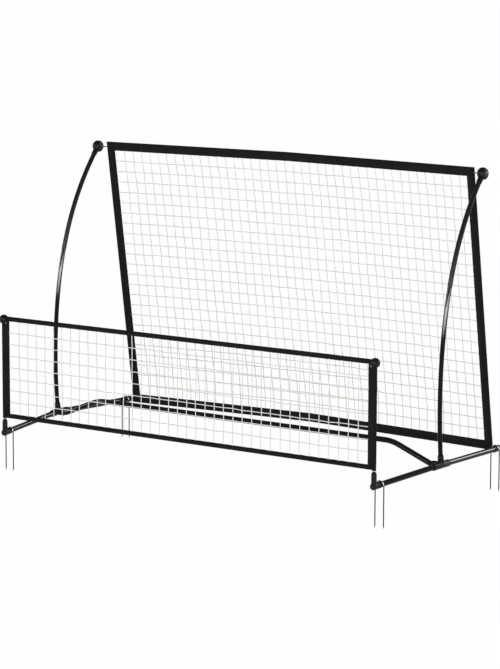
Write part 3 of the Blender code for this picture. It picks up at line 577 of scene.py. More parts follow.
def rounded(corners, radii):
    """A path of straights whose corners are arcs: each arc's points turn about the centre
    that lies at equal distance from both straights."""
    path = [corners[0][None, :]]
    for before, corner, after, radius in zip(corners, corners[1:], corners[2:], radii):
        u, v = unit(before - corner), unit(after - corner)
        half = math.acos(float(np.clip(u @ v, -1, 1))) / 2
        centre = corner + unit(u + v) * radius / math.sin(half)
        reach = radius / math.tan(half)
        a, b = corner + u * reach - centre, corner + v * reach - centre
        whole = math.acos(float(np.clip(unit(a) @ unit(b), -1, 1)))
        t = np.linspace(0.0, 1.0, BEND_STEPS)[:, None]
        path.append(centre + (np.sin((1 - t) * whole) * a + np.sin(t * whole) * b)
                    / math.sin(whole))
    path.append(corners[-1][None, :])
    return dense(np.concatenate(path))


def swaged(path, way, radius):
    """Path and radii of a tube whose end is drawn down to fit the next tube's bore."""
    neck = radius - WALL - NECK_SLACK
    along = np.array([0.00001, JOINT_LINE, JOINT_LINE + 0.0005, NECK - 0.001, NECK])
    drawn = [radius - 0.0002, neck, neck, neck, neck - 0.0005]
    extra = path[-1] + along[:, None] * way
    return np.concatenate([path, extra]), np.append(np.full(len(path), radius), drawn)


foot_x = TEE_X - INNER_ARM - GAP - FOOT_R * math.tan(CLIMB / 2)
bend_x = foot_x - RISE / math.tan(CLIMB)
for side, label in SIDES:
    start = spot(side * (TEE_X - RAIL_R - TEE_INSET), TEE_Y, TEE_Z)
    end = 0.0 if side < 0 else JOINT_LINE
    path = rounded([start, spot(side * foot_x, TEE_Y, TEE_Z),
                    spot(side * bend_x, TEE_Y, TEE_Z + RISE),
                    spot(end, TEE_Y, TEE_Z + RISE)], (FOOT_R, BEND_R))
    radii = RAIL_R
    if side < 0:
        path, radii = swaged(path, ACROSS, RAIL_R)
    pipe(f"crossbar_tube_{label}", path, BACK, radii, "base", gloss_coat, f"crossbar_{label}")
print("crossbar bends at x", round(bend_x, 3))

# %% [markdown]
# ## Curved poles
# Each pole rises from its tee, leans a little towards the player, and sweeps back to the
# top corner of the tall net. It is two tubes: the thinner lower one slides into the upper
# one at three fifths of its height. The curve is a parabola with a fourth-power term, which
# bends it more towards the top as the real tube does.

# %% Poles
VERTEX_Y, VERTEX_Z, CURVE, JOINT_Z, SOCKET_Z = 0.3945, 0.250, 0.26, 0.700, 0.058
HUB_STEM, HUB_PLUG, POLE_NECK_R, POLE_LIFT, POLE_JOINT = 0.044, 0.0143, 0.0078, 0.0018, 0.0007
hub_rise = HUB[2] - VERTEX_Z
QUARTIC = (HUB[1] - VERTEX_Y - CURVE * hub_rise ** 2) / hub_rise ** 4


def pole_at(side, z):
    """Points of the pole's axis: y = vertex + curve * rise^2 + quartic * rise^4."""
    z = np.atleast_1d(np.asarray(z, dtype=float))
    rise = z - VERTEX_Z
    y = VERTEX_Y + CURVE * rise ** 2 + QUARTIC * rise ** 4
    return np.stack([np.full_like(z, side * TEE_X), y, z], -1)


def pole_way(z):
    """The pole's direction, from the slope of its curve."""
    rise = z - VERTEX_Z
    return unit([0.0, 2 * CURVE * rise + 4 * QUARTIC * rise ** 3, 1.0])


for side, label in SIDES:
    foot = pole_at(side, TEE_Z) + pole_way(SOCKET_Z) * (RAIL_R + POLE_LIFT)
    path = np.concatenate([foot, pole_at(side, np.linspace(SOCKET_Z, JOINT_Z, 44))])
    path, radii = swaged(path, pole_way(JOINT_Z), POLE_FOOT_R)
    radii[-5:] = np.minimum(radii[-5:], POLE_NECK_R)
    pipe(f"lower_pole_{label}", path, ACROSS, radii, "base", pole_coat, f"pole_lower_{label}")
    hub = spot(side * TEE_X, HUB[1], HUB[2])
    way = pole_way(HUB[2])
    stem = hub - way * HUB_STEM
    high = pole_at(side, np.linspace(JOINT_Z + POLE_JOINT, stem[2], 34)[:-1])
    path = np.concatenate([high, [stem, hub - way * HUB_PLUG]])
    pipe(f"upper_pole_{label}", path, ACROSS, POLE_R, "base", satin_coat, f"pole_upper_{label}")
print("pole curve's fourth-power term", round(QUARTIC, 3))

# %% [markdown]
# ## Moulded fittings
# A moulded fitting is sockets and balls run together with small rounds where they meet. No
# single formula gives that, so its shells are worked out apart, fused on a fine grid of
# voxels, and relaxed until the inner corners are rounded. The bores are cut last, so they
# stay crisp and the tubes fit them.

# %% Fusing shells into one moulding
def shells_mesh(name, grids):
    """One mesh of several closed grids, with its poles closed and its faces turned out."""
    starts = np.append(0, np.cumsum([grid[..., 0].size for grid in grids]))
    faces = [quads(*grid.shape[:2]).reshape(-1, 4) + start for grid, start in zip(grids, starts)]
    points = np.concatenate([grid.reshape(-1, 3) for grid in grids])
    return welded(made_mesh(name, points, np.concatenate(faces)), turned=True)


def evaluated(obj):
    """The mesh that an object's modifiers make, on its own. The object goes."""
    bpy.context.view_layer.update()
    mesh = bpy.data.meshes.new_from_object(
        obj.evaluated_get(bpy.context.evaluated_depsgraph_get()))
    bpy.data.objects.remove(obj)
    return mesh


def fused(name, shells, bores, body, node, voxel=0.0008, relax=5):
    """Shells fused on voxels and relaxed, less their bores."""
    work = placed(name + "_work", shells_mesh(name, shells))
    remesh = work.modifiers.new("fuse", "REMESH")
    remesh.mode = "VOXEL"
    remesh.voxel_size = voxel
    smooth = work.modifiers.new("relax", "SMOOTH")
    smooth.factor = 0.5
    smooth.iterations = relax
    solid = placed(name + "_solid", evaluated(work))
    tool = placed(name + "_bore", shells_mesh(name + "_bore", bores))
    cut = solid.modifiers.new("bores", "BOOLEAN")
    cut.operation = "DIFFERENCE"
    cut.solver = "MANIFOLD"
    cut.object = tool
    mesh = evaluated(solid)
    bpy.data.objects.remove(tool)
    mesh.name = name
    mesh.materials.clear()
    return piece(name, mesh, body, plastic, node, smooth=50.0)


def rod(at, way, start, stop, radius, end_radius=None, edge=0.0):
    """A closed round bar from at + way * start to at + way * stop, with a rounded rim."""
    length, top = stop - start, end_radius or radius
    rim = arc(top - edge, length - edge, edge, 0, 90) if edge else [(top, length)]
    return lathe([(0, 0), (radius, 0)] + rim + [(0, length)], at + way * start, way)


def globe(centre, radius, axis, sides=TUBE_SIDES, rings=25):
    """A ball: radius sin t and height -radius cos t, with t from 0 to pi."""
    t = np.linspace(0.0, math.pi, rings)
    return lathe(np.stack([radius * np.sin(t), -radius * np.cos(t)], -1), centre, axis, sides)


print("moulding tools ready")

# %% [markdown]
# The front corners end in a ball. A sleeve covers the rail, and a socket with a shoulder
# holds the post of the low net, which lifts out for storage, so its bore is real.

# %% Front corners
RAIL_BORE, THROUGH = RAIL_R + GAP, 0.04
BALL_R, SLEEVE_R, SLEEVE, RIM, PAST = 0.0135, 0.0128, 0.044, 0.0012, 0.010
SOCKET_R, LIP_R, SHOULDER, SOCKET_TOP, SOCKET_FLOOR = 0.0105, 0.0089, 0.048, 0.052, 0.016


def ball_end(at, way):
    """The shells of a ball with a sleeve along its rail, and the rail's bore."""
    return ([globe(at, BALL_R, way), rod(at, way, 0.0, SLEEVE, SLEEVE_R, edge=RIM)],
            rod(at, way, RAIL_INSET - GAP, SLEEVE + PAST, RAIL_BORE))


for side, label in SIDES:
    front, tee, rear = side_points(side)
    shells, bore = ball_end(front, unit(tee - front))
    post = spot(side * FRONT_X, LOW_Y, 0)
    shells += [rod(post, UP, 0.0, SHOULDER, SOCKET_R),
               rod(post, UP, SHOULDER - 0.001, SOCKET_TOP, SOCKET_R, LIP_R, edge=0.0008)]
    bores = [bore, rod(post, UP, SOCKET_FLOOR, SOCKET_TOP + PAST, POST_R + GAP)]
    made = fused(f"corner_{label}", shells, bores, "base", f"front_corner_{label}")
print("corner has", len(made.data.polygons), "faces")

# %% [markdown]
# The rear fittings close the rails with a ball and carry the bolt that the tall net turns
# on. A short boss reaches in to the net's side bar.

# %% Rear fittings
BOSS_R, FOLD_BORE = 0.0095, 0.0044
for side, label in SIDES:
    front, tee, rear = side_points(side)
    shells, bore = ball_end(rear, unit(tee - rear))
    inner, reach = -side * ACROSS, REAR_X - SIDE_X - TALL_OUT - GAP
    shells.append(rod(rear, inner, 0.0, reach, BOSS_R, edge=0.0006))
    bores = [bore, rod(rear, -inner, -THROUGH, THROUGH, FOLD_BORE)]
    made = fused(f"rear_fitting_{label}", shells, bores, "base", f"rail_end_{label}")
print("rear fitting has", len(made.data.polygons), "faces")

# %% [markdown]
# The tees are the largest mouldings. Two arms take the rails, which meet at a slight angle,
# a third takes the crossbar, and an upright socket takes the pole. Their rims are rounded.

# %% Tees
FORE_ARM, AFT_ARM, ARM_R, MEET, TEE_STOP = 0.048, 0.062, 0.014, 0.004, TEE_INSET - GAP
CUP_R, CUP_LIP_R = 0.0135, 0.0112
for side, label in SIDES:
    front, tee, rear = side_points(side)
    arms = ((unit(front - tee), FORE_ARM), (unit(rear - tee), AFT_ARM))
    inner, foot, rise = -side * ACROSS, pole_at(side, TEE_Z)[0], pole_way(SOCKET_Z)
    tall = SOCKET_Z - TEE_Z
    shells = [rod(tee, way, -MEET, arm, ARM_R, edge=RIM) for way, arm in arms]
    shells += [rod(tee, inner, 0.0, INNER_ARM, ARM_R - 0.0001, edge=RIM),
               rod(foot, rise, 0.0, tall, CUP_R, CUP_LIP_R, edge=0.0009)]
    bores = [rod(tee, way, TEE_STOP, arm + PAST, RAIL_BORE) for way, arm in arms]
    bores += [rod(tee, inner, RAIL_R + TEE_STOP, INNER_ARM + PAST, RAIL_BORE),
              rod(foot, rise, RAIL_R + POLE_LIFT - GAP, tall + PAST, POLE_FOOT_R + GAP)]
    made = fused(f"tee_fitting_{label}", shells, bores, "base", f"tee_{label}")
print("tee has", len(made.data.polygons), "faces")

# %% [markdown]
# ## Hubs and bolts
# A round hub caps each pole, nearly a ball with two flat faces. A bolt runs through it to the
# corner of the tall net, a little behind its centre, and its head is let into the outer face.

# %% Hubs
HUB_R, HUB_HALF, HUB_FACE = 0.0245, 0.0165, 0.0145
HEAD_R, HEAD_H, SHANK_R, STEM_R, BOLT_GAP = 0.0085, 0.0045, 0.0035, 0.0111, 0.0004


def hub_profile():
    """A hub's section: radius face + (R - face) sin t and height half * cos t, with t from
    0 to pi, closed by the two flat faces."""
    t = np.linspace(0.0, math.pi, 41)
    edge = np.stack([HUB_FACE + (HUB_R - HUB_FACE) * np.sin(t), HUB_HALF * np.cos(t)], -1)
    return np.concatenate([[[0.0, HUB_HALF]], edge, [[0.0, -HUB_HALF]]])


for side, label in SIDES:
    hub = spot(side * TEE_X, HUB[1], HUB[2])
    pin = spot(side * TEE_X, HUB_BOLT[1], HUB_BOLT[2])
    way = pole_way(HUB[2])
    out = side * ACROSS
    shells = [lathe(hub_profile(), hub, out, 96),
              rod(hub, -way, 0.006, HUB_STEM, STEM_R, edge=0.001)]
    bores = [rod(hub, -way, HUB_PLUG - GAP, HUB_STEM + PAST, POLE_R + GAP),
             rod(pin, out, -THROUGH, THROUGH, SHANK_R + BOLT_GAP),
             rod(pin, out, HUB_HALF - HEAD_H - GAP, THROUGH, HEAD_R + BOLT_GAP)]
    made = fused(f"hub_{label}", shells, bores, "base", f"pole_hub_{label}", voxel=0.0006,
                 relax=2)
print("hub has", len(made.data.polygons), "faces")

# %% [markdown]
# The bolts are turned from steel: a low domed head, a shank, and an end that faces the
# net's side bar. The fold bolts are smaller and reach into the bar's lower elbow.

# %% Bolts
def bolt(name, centre, outward, head, shank, node):
    """A domed head (its seat, radius and height) on a shank (its radius, the step where it is
    turned down, the radius beyond and its reach): the dome is a parabola, the rim a round."""
    head_at, head_r, head_h = head
    shank_r, step, end_r, reach = shank
    dome = [(0.0, head_at + head_h)]
    t = np.linspace(0.15, 1.0, 8)
    dome += [(head_r * 0.86 * a, head_at + head_h - 0.0011 * a * a) for a in t]
    rim = arc(head_r - 0.0010, head_at + head_h - 0.0023, 0.0010, 70, 0)
    low = [(head_r, head_at), (shank_r, head_at), (shank_r, -step), (end_r, -step - 0.0006),
           (end_r, -reach + 0.0006), (end_r - 0.0006, -reach), (0.0, -reach)]
    skin(name, lathe(dome + rim + low, centre, outward), "base", steel, node)


for side, label in SIDES:
    pin = spot(side * TEE_X, HUB_BOLT[1], HUB_BOLT[2])
    rear = side_points(side)[2]
    bolt(f"hub_bolt_{label}", pin, side * ACROSS, (HUB_HALF - HEAD_H, HEAD_R, HEAD_H),
         (SHANK_R, HUB_HALF, 0.0022, TEE_X - (SIDE_X + TALL_OUT + 0.0006)),
         f"pole_bolt_{label}")
    bolt(f"turning_bolt_{label}", rear, side * ACROSS, (BALL_R + GAP, 0.0068, 0.0045),
         (0.004, 0.030, 0.0036, REAR_X - (SIDE_X + BAR_R - 0.016)), f"fold_bolt_{label}")
print("bolts in place")

# %% [markdown]
# ## Ground pegs
# A peg is a piece of drawn wire bent into a narrow U. It hooks over a corner fitting, and
# its two prongs go into the lawn. Its path is two straights and half a circle, and its
# radius shrinks over the last centimetre of each prong.

# %% Pegs
PEG_R, PEG_HALF, PEG_TIP, PEG_SIDES = 0.00225, 0.019, 0.010, 24


def peg_path(x, y, crown):
    """Prong, half circle and prong: x + half * (-cos t), crown + half * sin t."""
    t = np.linspace(0.0, math.pi, 33)
    rise = np.array([0.0002, 0.002, 0.005, PEG_TIP, 0.05, 0.10]) - SHIFT[2]
    taper = np.array([0.0009, 0.0013, 0.0017, PEG_R, PEG_R, PEG_R])
    aside = np.pad(-PEG_HALF * np.cos(t), len(rise), "edge")
    height = np.concatenate([rise, crown + PEG_HALF * np.sin(t), rise[::-1]])
    radii = np.concatenate([taper, np.full(len(t), PEG_R), taper[::-1]])
    return np.stack([x + aside, np.full(len(aside), y), height], -1), radii


for side, label in SIDES:
    for place in ("front", "rear"):
        low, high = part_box(f"peg_{place}_{label}")
        x, y = (low[0] + high[0]) / 2 - SHIFT[0], (low[1] + high[1]) / 2 - SHIFT[1]
        crown = high[2] - SHIFT[2] - PEG_R - PEG_HALF
        path, radii = peg_path(x, y, crown)
        first, last = (np.broadcast_to(path[k] + SHIFT, (1, PEG_SIDES, 3)) for k in (0, -1))
        grid = np.concatenate([first, around(path + SHIFT, BACK, radii, PEG_SIDES), last])
        node = f"peg_{place}_{label}"
        skin(f"ground_{node}", grid, node, peg_steel, node)
print("four pegs, wire", PEG_R * 2000, "mm")

# %% [markdown]
# ## Low net's frame
# The low net stands on two thin posts. A ball knob caps each post and takes the top bar.
# Only a finger's breadth of post shows under the band, until the net is lifted out.

# %% Posts, knobs and rivets
KNOB_R, KNOB_DROP, POST_DROP, BAR_STOP = 0.0192, 0.0045, 0.0043, 0.011
RIVET_R, RIVET_CAP, RIVET_SHANK, RIVET_BORE = 0.0036, 0.0014, 0.0018, 0.0039
for side, label in SIDES:
    post = spot(side * FRONT_X, LOW_Y, 0)
    top = spot(side * FRONT_X, LOW_Y, LOW_TOP)
    inner = -side * ACROSS
    path = straight(post + UP * (SOCKET_FLOOR + GAP), top - UP * POST_DROP, 24)
    pipe(f"post_{label}", path, ACROSS, POST_R, "low_panel", post_coat, f"low_post_{label}")
    low, high = (np.array(end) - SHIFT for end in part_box(f"low_rivet_{label}"))
    middle, length = (low + high) / 2, float(high[1] - low[1])
    shells = [globe(top - UP * KNOB_DROP, KNOB_R, UP, 64, 33)]
    bores = [rod(top, -UP, POST_DROP - GAP, THROUGH, POST_R + GAP),
             rod(top, inner, BAR_STOP, THROUGH, POST_R + GAP),
             rod(middle, BACK, -THROUGH, THROUGH, RIVET_BORE)]
    fused(f"knob_{label}", shells, bores, "low_panel", f"low_knob_{label}", voxel=0.0007,
          relax=1)
    profile = [(RIVET_R * math.sin(a), -RIVET_CAP * math.cos(a))
               for a in np.linspace(0, math.pi / 2, 9)]
    end = length - RIVET_CAP
    profile += [(RIVET_SHANK, 0.0), (RIVET_SHANK, end), (0.0, end)]
    grid = lathe(profile, spot(middle[0], low[1] + RIVET_CAP, middle[2]), BACK, 32)
    skin(f"rivet_{label}", grid, "low_panel", steel, f"low_rivet_{label}")
print("knobs", KNOB_R * 2000, "mm across")

# %% [markdown]
# ## Bands of cloth
# Every bar of the two nets wears a band of webbing, folded round the tube and sewn shut
# beside it, with the net's edge caught between the layers. Its section is a drop: a circle
# round the tube with two tangents that meet in a thin flap. The cloth pulls tight over the
# tube and puckers a little along its rows of stitches. A sum of plane waves with fixed
# phases gives these puckers, strongest at the seams.

# %% The section of a band
FLAT_STEPS, ROUND_STEPS, TIP_STEPS = 14, 26, 6


def drop(radius, reach, edge):
    """Points of a drop, and each one's distance from its tip along the cloth: a half circle
    at the tip, two tangents, and the arc of the circle that they touch."""
    px, py = reach - edge, edge
    far = math.hypot(px, py)
    turn = math.atan2(py, px) + math.acos((radius - 1e-9) / far)
    touch = np.array([math.cos(turn), math.sin(turn)]) * radius
    upper = straight(np.array([px, py]), touch, FLAT_STEPS)
    a = np.linspace(turn, 2.0 * math.pi - turn, ROUND_STEPS)[1:-1]
    loop = np.stack([np.cos(a), np.sin(a)], -1) * radius
    lower = upper[::-1] * [1.0, -1.0]
    c = np.linspace(-math.pi / 2, math.pi / 2, TIP_STEPS + 2)[1:-1]
    nose = np.array([px, 0.0]) + np.stack([np.cos(c), np.sin(c)], -1) * edge
    points = np.concatenate([upper, loop, lower, nose])
    closed = np.concatenate([points, points[:1]])
    run = run_along(closed) + edge * math.pi / 2
    return points, np.minimum(run, run[-1] + edge * math.pi / 2 - run).clip(0.0)


def outward(points):
    """Unit normals of a closed flat loop that runs anticlockwise."""
    way = np.roll(points, -1, axis=0) - np.roll(points, 1, axis=0)
    normal = np.stack([way[:, 1], -way[:, 0]], -1)
    return normal / np.linalg.norm(normal, axis=1, keepdims=True)


def puckers(along, from_edge, seed):
    """Metres of swell: plane waves of 9 to 60 mm, stronger within 5 mm of a seam, less a
    shallow valley along each row of stitches."""
    rng = np.random.default_rng(seed)
    swell = np.zeros(along.shape)
    for _ in range(14):
        wave = rng.uniform(0.009, 0.060)
        slant = rng.uniform(-0.6, 0.6)
        swell += np.sin(2 * math.pi * (along + slant * from_edge) / wave + rng.uniform(0, 6.28))
    near = sum(np.exp(-((from_edge - row) / 0.004) ** 2) for row in STITCH_ROWS)
    valley = sum(np.exp(-((from_edge - row) / 0.0011) ** 2) for row in STITCH_ROWS)
    return swell * (0.000018 + 0.000032 * near) - 0.00025 * valley


# %% [markdown]
# A band's points are its section carried along the bar: where the band is mitred, the part
# of the section nearer to the net is shorter, so each column gets its own two ends. The tall
# net's top and bottom bars are each two straight halves that meet a little further back,
# and the band follows them.

# %% Carrying the section along a bar
CLOTH = {"tall": (PANEL_BACK, TALL_OUT, 0.0019), "low": (BACK, 0.0085, 0.0017)}
SEAM, CHANNEL_EDGE, BORE_ROWS, BAND_STEP, FADE = 0.0105, 0.0003, 25, 0.004, 0.01


def band(which, place, foot, way, inward, width, ends, seed, lag=None, tilt=None):
    """One band of the tall or the low net: foot + way * s + inward * a + back * b over the
    section (a, b) and the length s, whose ends are given for each (a, b). lag(s) moves the
    section back, and tilt(s) turns it about the bar by an angle: (a cos t - b sin t,
    a sin t + b cos t)."""
    back, radius, edge = CLOTH[which]
    outer, from_edge = drop(radius, width - radius, edge)
    channel = max(width - radius - SEAM, (radius - WALL) * 1.2)
    inner, _ = drop(radius - WALL, channel, CHANNEL_EDGE)
    normal = outward(outer)
    longest = float(np.max(ends(outer)[1] - ends(outer)[0]))
    rows = int(longest / BAND_STEP)
    rows += 1 - rows % 2

    def carried(section, count, swell):
        low, high = ends(section)
        s = low + (high - low) * np.linspace(0.0, 1.0, count)[:, None]
        a = np.broadcast_to(section[:, 0], s.shape)
        b = np.broadcast_to(section[:, 1], s.shape)
        if swell:
            push = puckers(s, np.broadcast_to(from_edge[:-1], s.shape), seed)
            fade = np.minimum(np.minimum(s - low, high - s) / FADE, 1.0)
            a, b = a + normal[:, 0] * push * fade, b + normal[:, 1] * push * fade
        if tilt:
            t = tilt(s)
            a, b = a * np.cos(t) - b * np.sin(t), a * np.sin(t) + b * np.cos(t)
        if lag:
            b = b + lag(s)
        points = (foot + SHIFT + s[..., None] * way + a[..., None] * inward
                  + b[..., None] * back)
        return points, s

    out, s = carried(outer, rows, True)
    bore, s_in = carried(inner, BORE_ROWS, False)
    run = np.pad(np.concatenate([s, s_in[::-1]]), WRAP, "wrap")
    uv = np.stack([run, np.broadcast_to(from_edge, run.shape)], -1)
    made = skin(f"{which}_band_{place}", np.concatenate([out, bore[::-1]]), f"{which}_panel",
                cloth, f"{which}_sleeve_{place}", uv, closed=True)
    cut = float(run_along(np.concatenate([outer, outer[:1]]))[-1])
    print(made.name, "is cut", round(longest, 3), "x", round(cut, 3), "m")


# %% [markdown]
# ### The tall net's four bands
# They are mitred at 45 degrees, so the panel's corners are square. The bars are bent back in
# the middle, and the net between them hangs in a smooth curve, as cloth does when it is
# pulled from both sides. The flaps of the side bands are turned back a few degrees by it.

# %% Tall bands
TALL_W, SIDE_BAND, MITRE_GAP, FREE = 0.0375, 0.0362, 0.0002, 0.16


def mitred(half):
    """Both ends move in by one metre for each metre towards the net."""
    half = half - MITRE_GAP
    return lambda section: (section[:, 0] - half, half - section[:, 0])


def freedom(height):
    """0 at the top and bottom bar, 1 from a sixth of a metre inside them, smooth between."""
    t = np.clip(np.minimum(height, TALL - height) / FREE, 0.0, 1.0)
    return t * t * (3.0 - 2.0 * t)


def middle_back(height):
    """How far back the net's middle lies at a height up the panel."""
    return BOTTOM_BOW + (TOP_BOW - BOTTOM_BOW) * height / TALL


def bowed(x, height):
    """Depth of the panel: middle * (1 - |x| / X) along a bar, and where the net is free of
    the bars middle * (1 - (x / X)^2), the curve that its level cords pull into."""
    share = np.abs(x) / SIDE_X
    free = freedom(height)
    return middle_back(height) * ((1.0 - free) * (1.0 - share) + free * (1.0 - share ** 2))


def side_tilt(s):
    """The side bands' flaps follow the net back: the slope of its depth at their bar."""
    height = s + TALL / 2
    return np.arctan(middle_back(height) * (1.0 + freedom(height)) / SIDE_X)


for place, height, inward, seed in (("top", TALL, -PANEL_UP, 3), ("bottom", 0.0, PANEL_UP, 5)):
    band("tall", place, PANEL_FOOT + PANEL_UP * height, ACROSS, inward, TALL_W, mitred(SIDE_X),
         seed,
         lag=lambda s, height=height: bowed(s, np.full_like(s, height)))
for (side, label), seed in zip(SIDES, (7, 9)):
    middle = PANEL_FOOT + PANEL_UP * TALL / 2 + ACROSS * side * SIDE_X
    band("tall", label, middle, PANEL_UP, -side * ACROSS, SIDE_BAND, mitred(TALL / 2),
         seed, tilt=side_tilt)

# %% [markdown]
# ### The low net's four bands
# The side bands are wide, the top and bottom ones narrow. The side bands stop under the
# knobs, so their top edge is cut out round the ball: each column of the cloth ends where it
# would touch it.

# %% Low bands
LOW_W, SIDE_W, LOW_OUT = 0.0195, 0.037, CLOTH["low"][1]
low_foot = LOW_BOTTOM - LOW_OUT + LOW_W + GAP
low_head = LOW_TOP + LOW_OUT - LOW_W - GAP


def plain(half):
    """Both ends are cut square."""
    return lambda section: (np.full(len(section), -half), np.full(len(section), half))


def round_end(section):
    """Both ends follow the round of the side bands: half + sqrt(radius^2 - depth^2)."""
    half = FRONT_X + np.sqrt(np.clip(LOW_OUT ** 2 - section[:, 1] ** 2, 0.0, None))
    return -half, half


def under_knob(section):
    """The top end follows the knob: its centre less sqrt(radius^2 - distance^2)."""
    apart = np.clip((KNOB_R + 0.0006) ** 2 - (section ** 2).sum(axis=1), 0.0, None)
    top = np.where(apart > 0, LOW_TOP - KNOB_DROP - np.sqrt(apart), low_head)
    return np.full(len(section), low_foot), np.minimum(top, low_head)


for place, height, inward, ends, seed in (
        ("top", LOW_TOP, -UP, plain(FRONT_X - KNOB_R - GAP), 11),
        ("bottom", LOW_BOTTOM, UP, round_end, 13)):
    band("low", place, spot(0, LOW_Y, height), ACROSS, inward, LOW_W, ends,
         seed)
for (side, label), seed in zip(SIDES, (15, 17)):
    band("low", label, spot(side * FRONT_X, LOW_Y, 0), UP, -side * ACROSS, SIDE_W, under_knob,
         seed)

# %% [markdown]
# ## The nets
# Both nets are square mesh of braided cord, tied at every crossing. The tall net has 42 by
# 24 openings, the low one 39 by 8. A net is two families of cords: each cord runs through its
# own row of knots, the uprights a little behind the level ones, and is caught in the bands at
# its ends. Each knot sits a fraction of a millimetre off its true place, which is what keeps
# the real net from looking drawn with a ruler.

# %% Knots and cords of a net
STRAND_SIDES, STEPS, TUCK = 6, 4, 0.004
ASIDE, FORWARD, WOVEN = 0.0006, 0.0008, 0.55


def net(which, xs, zs, ends_x, ends_z, place, seed):
    """Cords through knots at (xs, zs): place(x, z, depth) turns the net's own coordinates
    into points. A cord passes from one knot's depth to the next by 3 t^2 - 2 t^3."""
    rng = np.random.default_rng(seed)
    knot_x = xs[:, None] + rng.normal(0.0, ASIDE, (len(xs), len(zs)))
    knot_z = zs[None, :] + rng.normal(0.0, ASIDE, (len(xs), len(zs)))
    depth = rng.normal(0.0, FORWARD, (len(xs), len(zs)))

    def cords(fixed, moving, deep, lo, hi, flip, swap):
        """Rings of one family: moving is the coordinate its cords run in, fixed the other."""
        both = ((0, 0), (1, 1))
        aside = np.pad(fixed, both, "edge")
        along = np.pad(moving, both, constant_values=((0, 0), (lo, hi)))
        level = np.pad(deep + flip * CORD_R * WOVEN, both)
        t = np.linspace(0, along.shape[1] - 1, (along.shape[1] - 1) * STEPS + 1)
        left = np.minimum(t.astype(int), along.shape[1] - 2)
        share = t - left
        soft = share * share * (3 - 2 * share)
        a = along[:, left] * (1 - share) + along[:, left + 1] * share
        c = aside[:, left] * (1 - share) + aside[:, left + 1] * share
        d = level[:, left] * (1 - soft) + level[:, left + 1] * soft
        angle = np.linspace(0.0, 2.0 * math.pi, STRAND_SIDES, endpoint=False)
        side = c[..., None] + CORD_R * np.cos(angle)
        deepness = d[..., None] + CORD_R * np.sin(angle)
        run = np.broadcast_to(a[..., None], side.shape)
        grid = place(run, side, deepness) if swap else place(side, run, deepness)
        tips = grid[:, [0, -1]].mean(axis=2, keepdims=True).repeat(STRAND_SIDES, axis=2)
        turn = np.linspace(0.0, 2.0 * math.pi * CORD_R, STRAND_SIDES + 1)
        uv_run = np.concatenate([a[0, :1], a[0], a[0, -1:]])
        uv = np.stack(np.meshgrid(uv_run, turn, indexing="ij"), -1)
        return np.concatenate([tips[:, :1], grid, tips[:, 1:]], axis=1), uv

    upright, uv_a = cords(knot_x, knot_z, depth, *ends_z, 1.0, False)
    levels, uv_b = cords(knot_z.T, knot_x.T, depth.T, *ends_x, -1.0, True)
    t = np.linspace(0.0, math.pi, 5)
    angle = np.linspace(0.0, 2.0 * math.pi, 6, endpoint=False)
    ball_x = knot_x[..., None, None] + KNOT_R * np.sin(t)[:, None] * np.cos(angle)
    ball_z = knot_z[..., None, None] + KNOT_R * np.sin(t)[:, None] * np.sin(angle)
    ball_d = depth[..., None, None] + KNOT_R * np.cos(t)[:, None] + 0 * angle
    knots = place(ball_x, ball_z, ball_d).reshape(-1, 5, 6, 3)
    uv_k = np.stack(np.meshgrid(np.linspace(0, 0.006, 5), np.linspace(0, 0.008, 7),
                                indexing="ij"), -1)
    for kind, grid, uv in (("uprights", upright, uv_a), ("levels", levels, uv_b),
                           ("knots", knots, uv_k)):
        skin(f"{which}_netting_{kind}", grid, f"{which}_panel", cord, f"{which}_net", uv)
    print(which, "net has", len(xs), "x", len(zs), "knots")


# %% [markdown]
# The tall net follows the bend of its bars and the curve between them, so its points lie
# back by the same formula as the bands. Its uprights are spread a little wider on the left
# than on the right, which a cubic in their number gives. The low net is flat.

# %% Both nets
def tall_place(x, z, depth):
    """A point of the tall net from its x, its height up the panel and its depth."""
    return (PANEL_FOOT + SHIFT + x[..., None] * ACROSS + z[..., None] * PANEL_UP
            + (depth + bowed(x, z))[..., None] * PANEL_BACK)


def low_place(x, z, depth):
    """A point of the low net, which stands upright over the front corners."""
    return (SHIFT + x[..., None] * ACROSS + z[..., None] * UP
            + (depth + LOW_Y)[..., None] * BACK)


open_x, open_z = SIDE_X - (SIDE_BAND - TALL_OUT), TALL_W - TALL_OUT
count = np.arange(41)
tall_xs = -0.8072 + 0.0429 * count - 0.000078 * count ** 2 + 0.00000057 * count ** 3
tall_zs = np.linspace(open_z, TALL - open_z, 25)[1:-1]
net("tall", tall_xs, tall_zs, (-open_x - TUCK, open_x + TUCK),
    (open_z - TUCK, TALL - open_z + TUCK), tall_place, 21)

low_xs = -0.8085 + 0.0439 * np.arange(38)
low_zs = np.linspace(low_foot, low_head, 9)[1:-1]
low_open = FRONT_X + LOW_OUT - SIDE_W
net("low", low_xs, low_zs, (-low_open - TUCK, low_open + TUCK),
    (low_foot - TUCK, low_head + TUCK), low_place, 23)

# %% [markdown]
# ## What the model already has right
# The bars and elbows inside the bands are right as they are, and are seen only where a band
# ends. They keep their shape and get the finishes of the tubes and mouldings.

# %% Finishes for the model's own pieces
for node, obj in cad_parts.items():
    finish = plastic if "elbow" in node else satin_coat
    if "net" in node:
        finish = cord
    for slot in obj.material_slots:
        slot.material = finish
print(len(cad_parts), "nodes carry a finish")

# %% [markdown]
# ## Studio
# The photograph stands on white without an edge. A wide pale floor gives that: what the
# camera sees of it is mostly its own white, and the rest is lit, so it keeps the soft shadow
# under the frame. Large soft lamps stand for the studio's boxes. Black gloss shows them as
# white lines along the tubes.

# %% Floor and backdrop
OWN_WHITE, FLOOR_R, FLOOR_DROP, SKY = 0.992, 90.0, 0.0005, 0.26


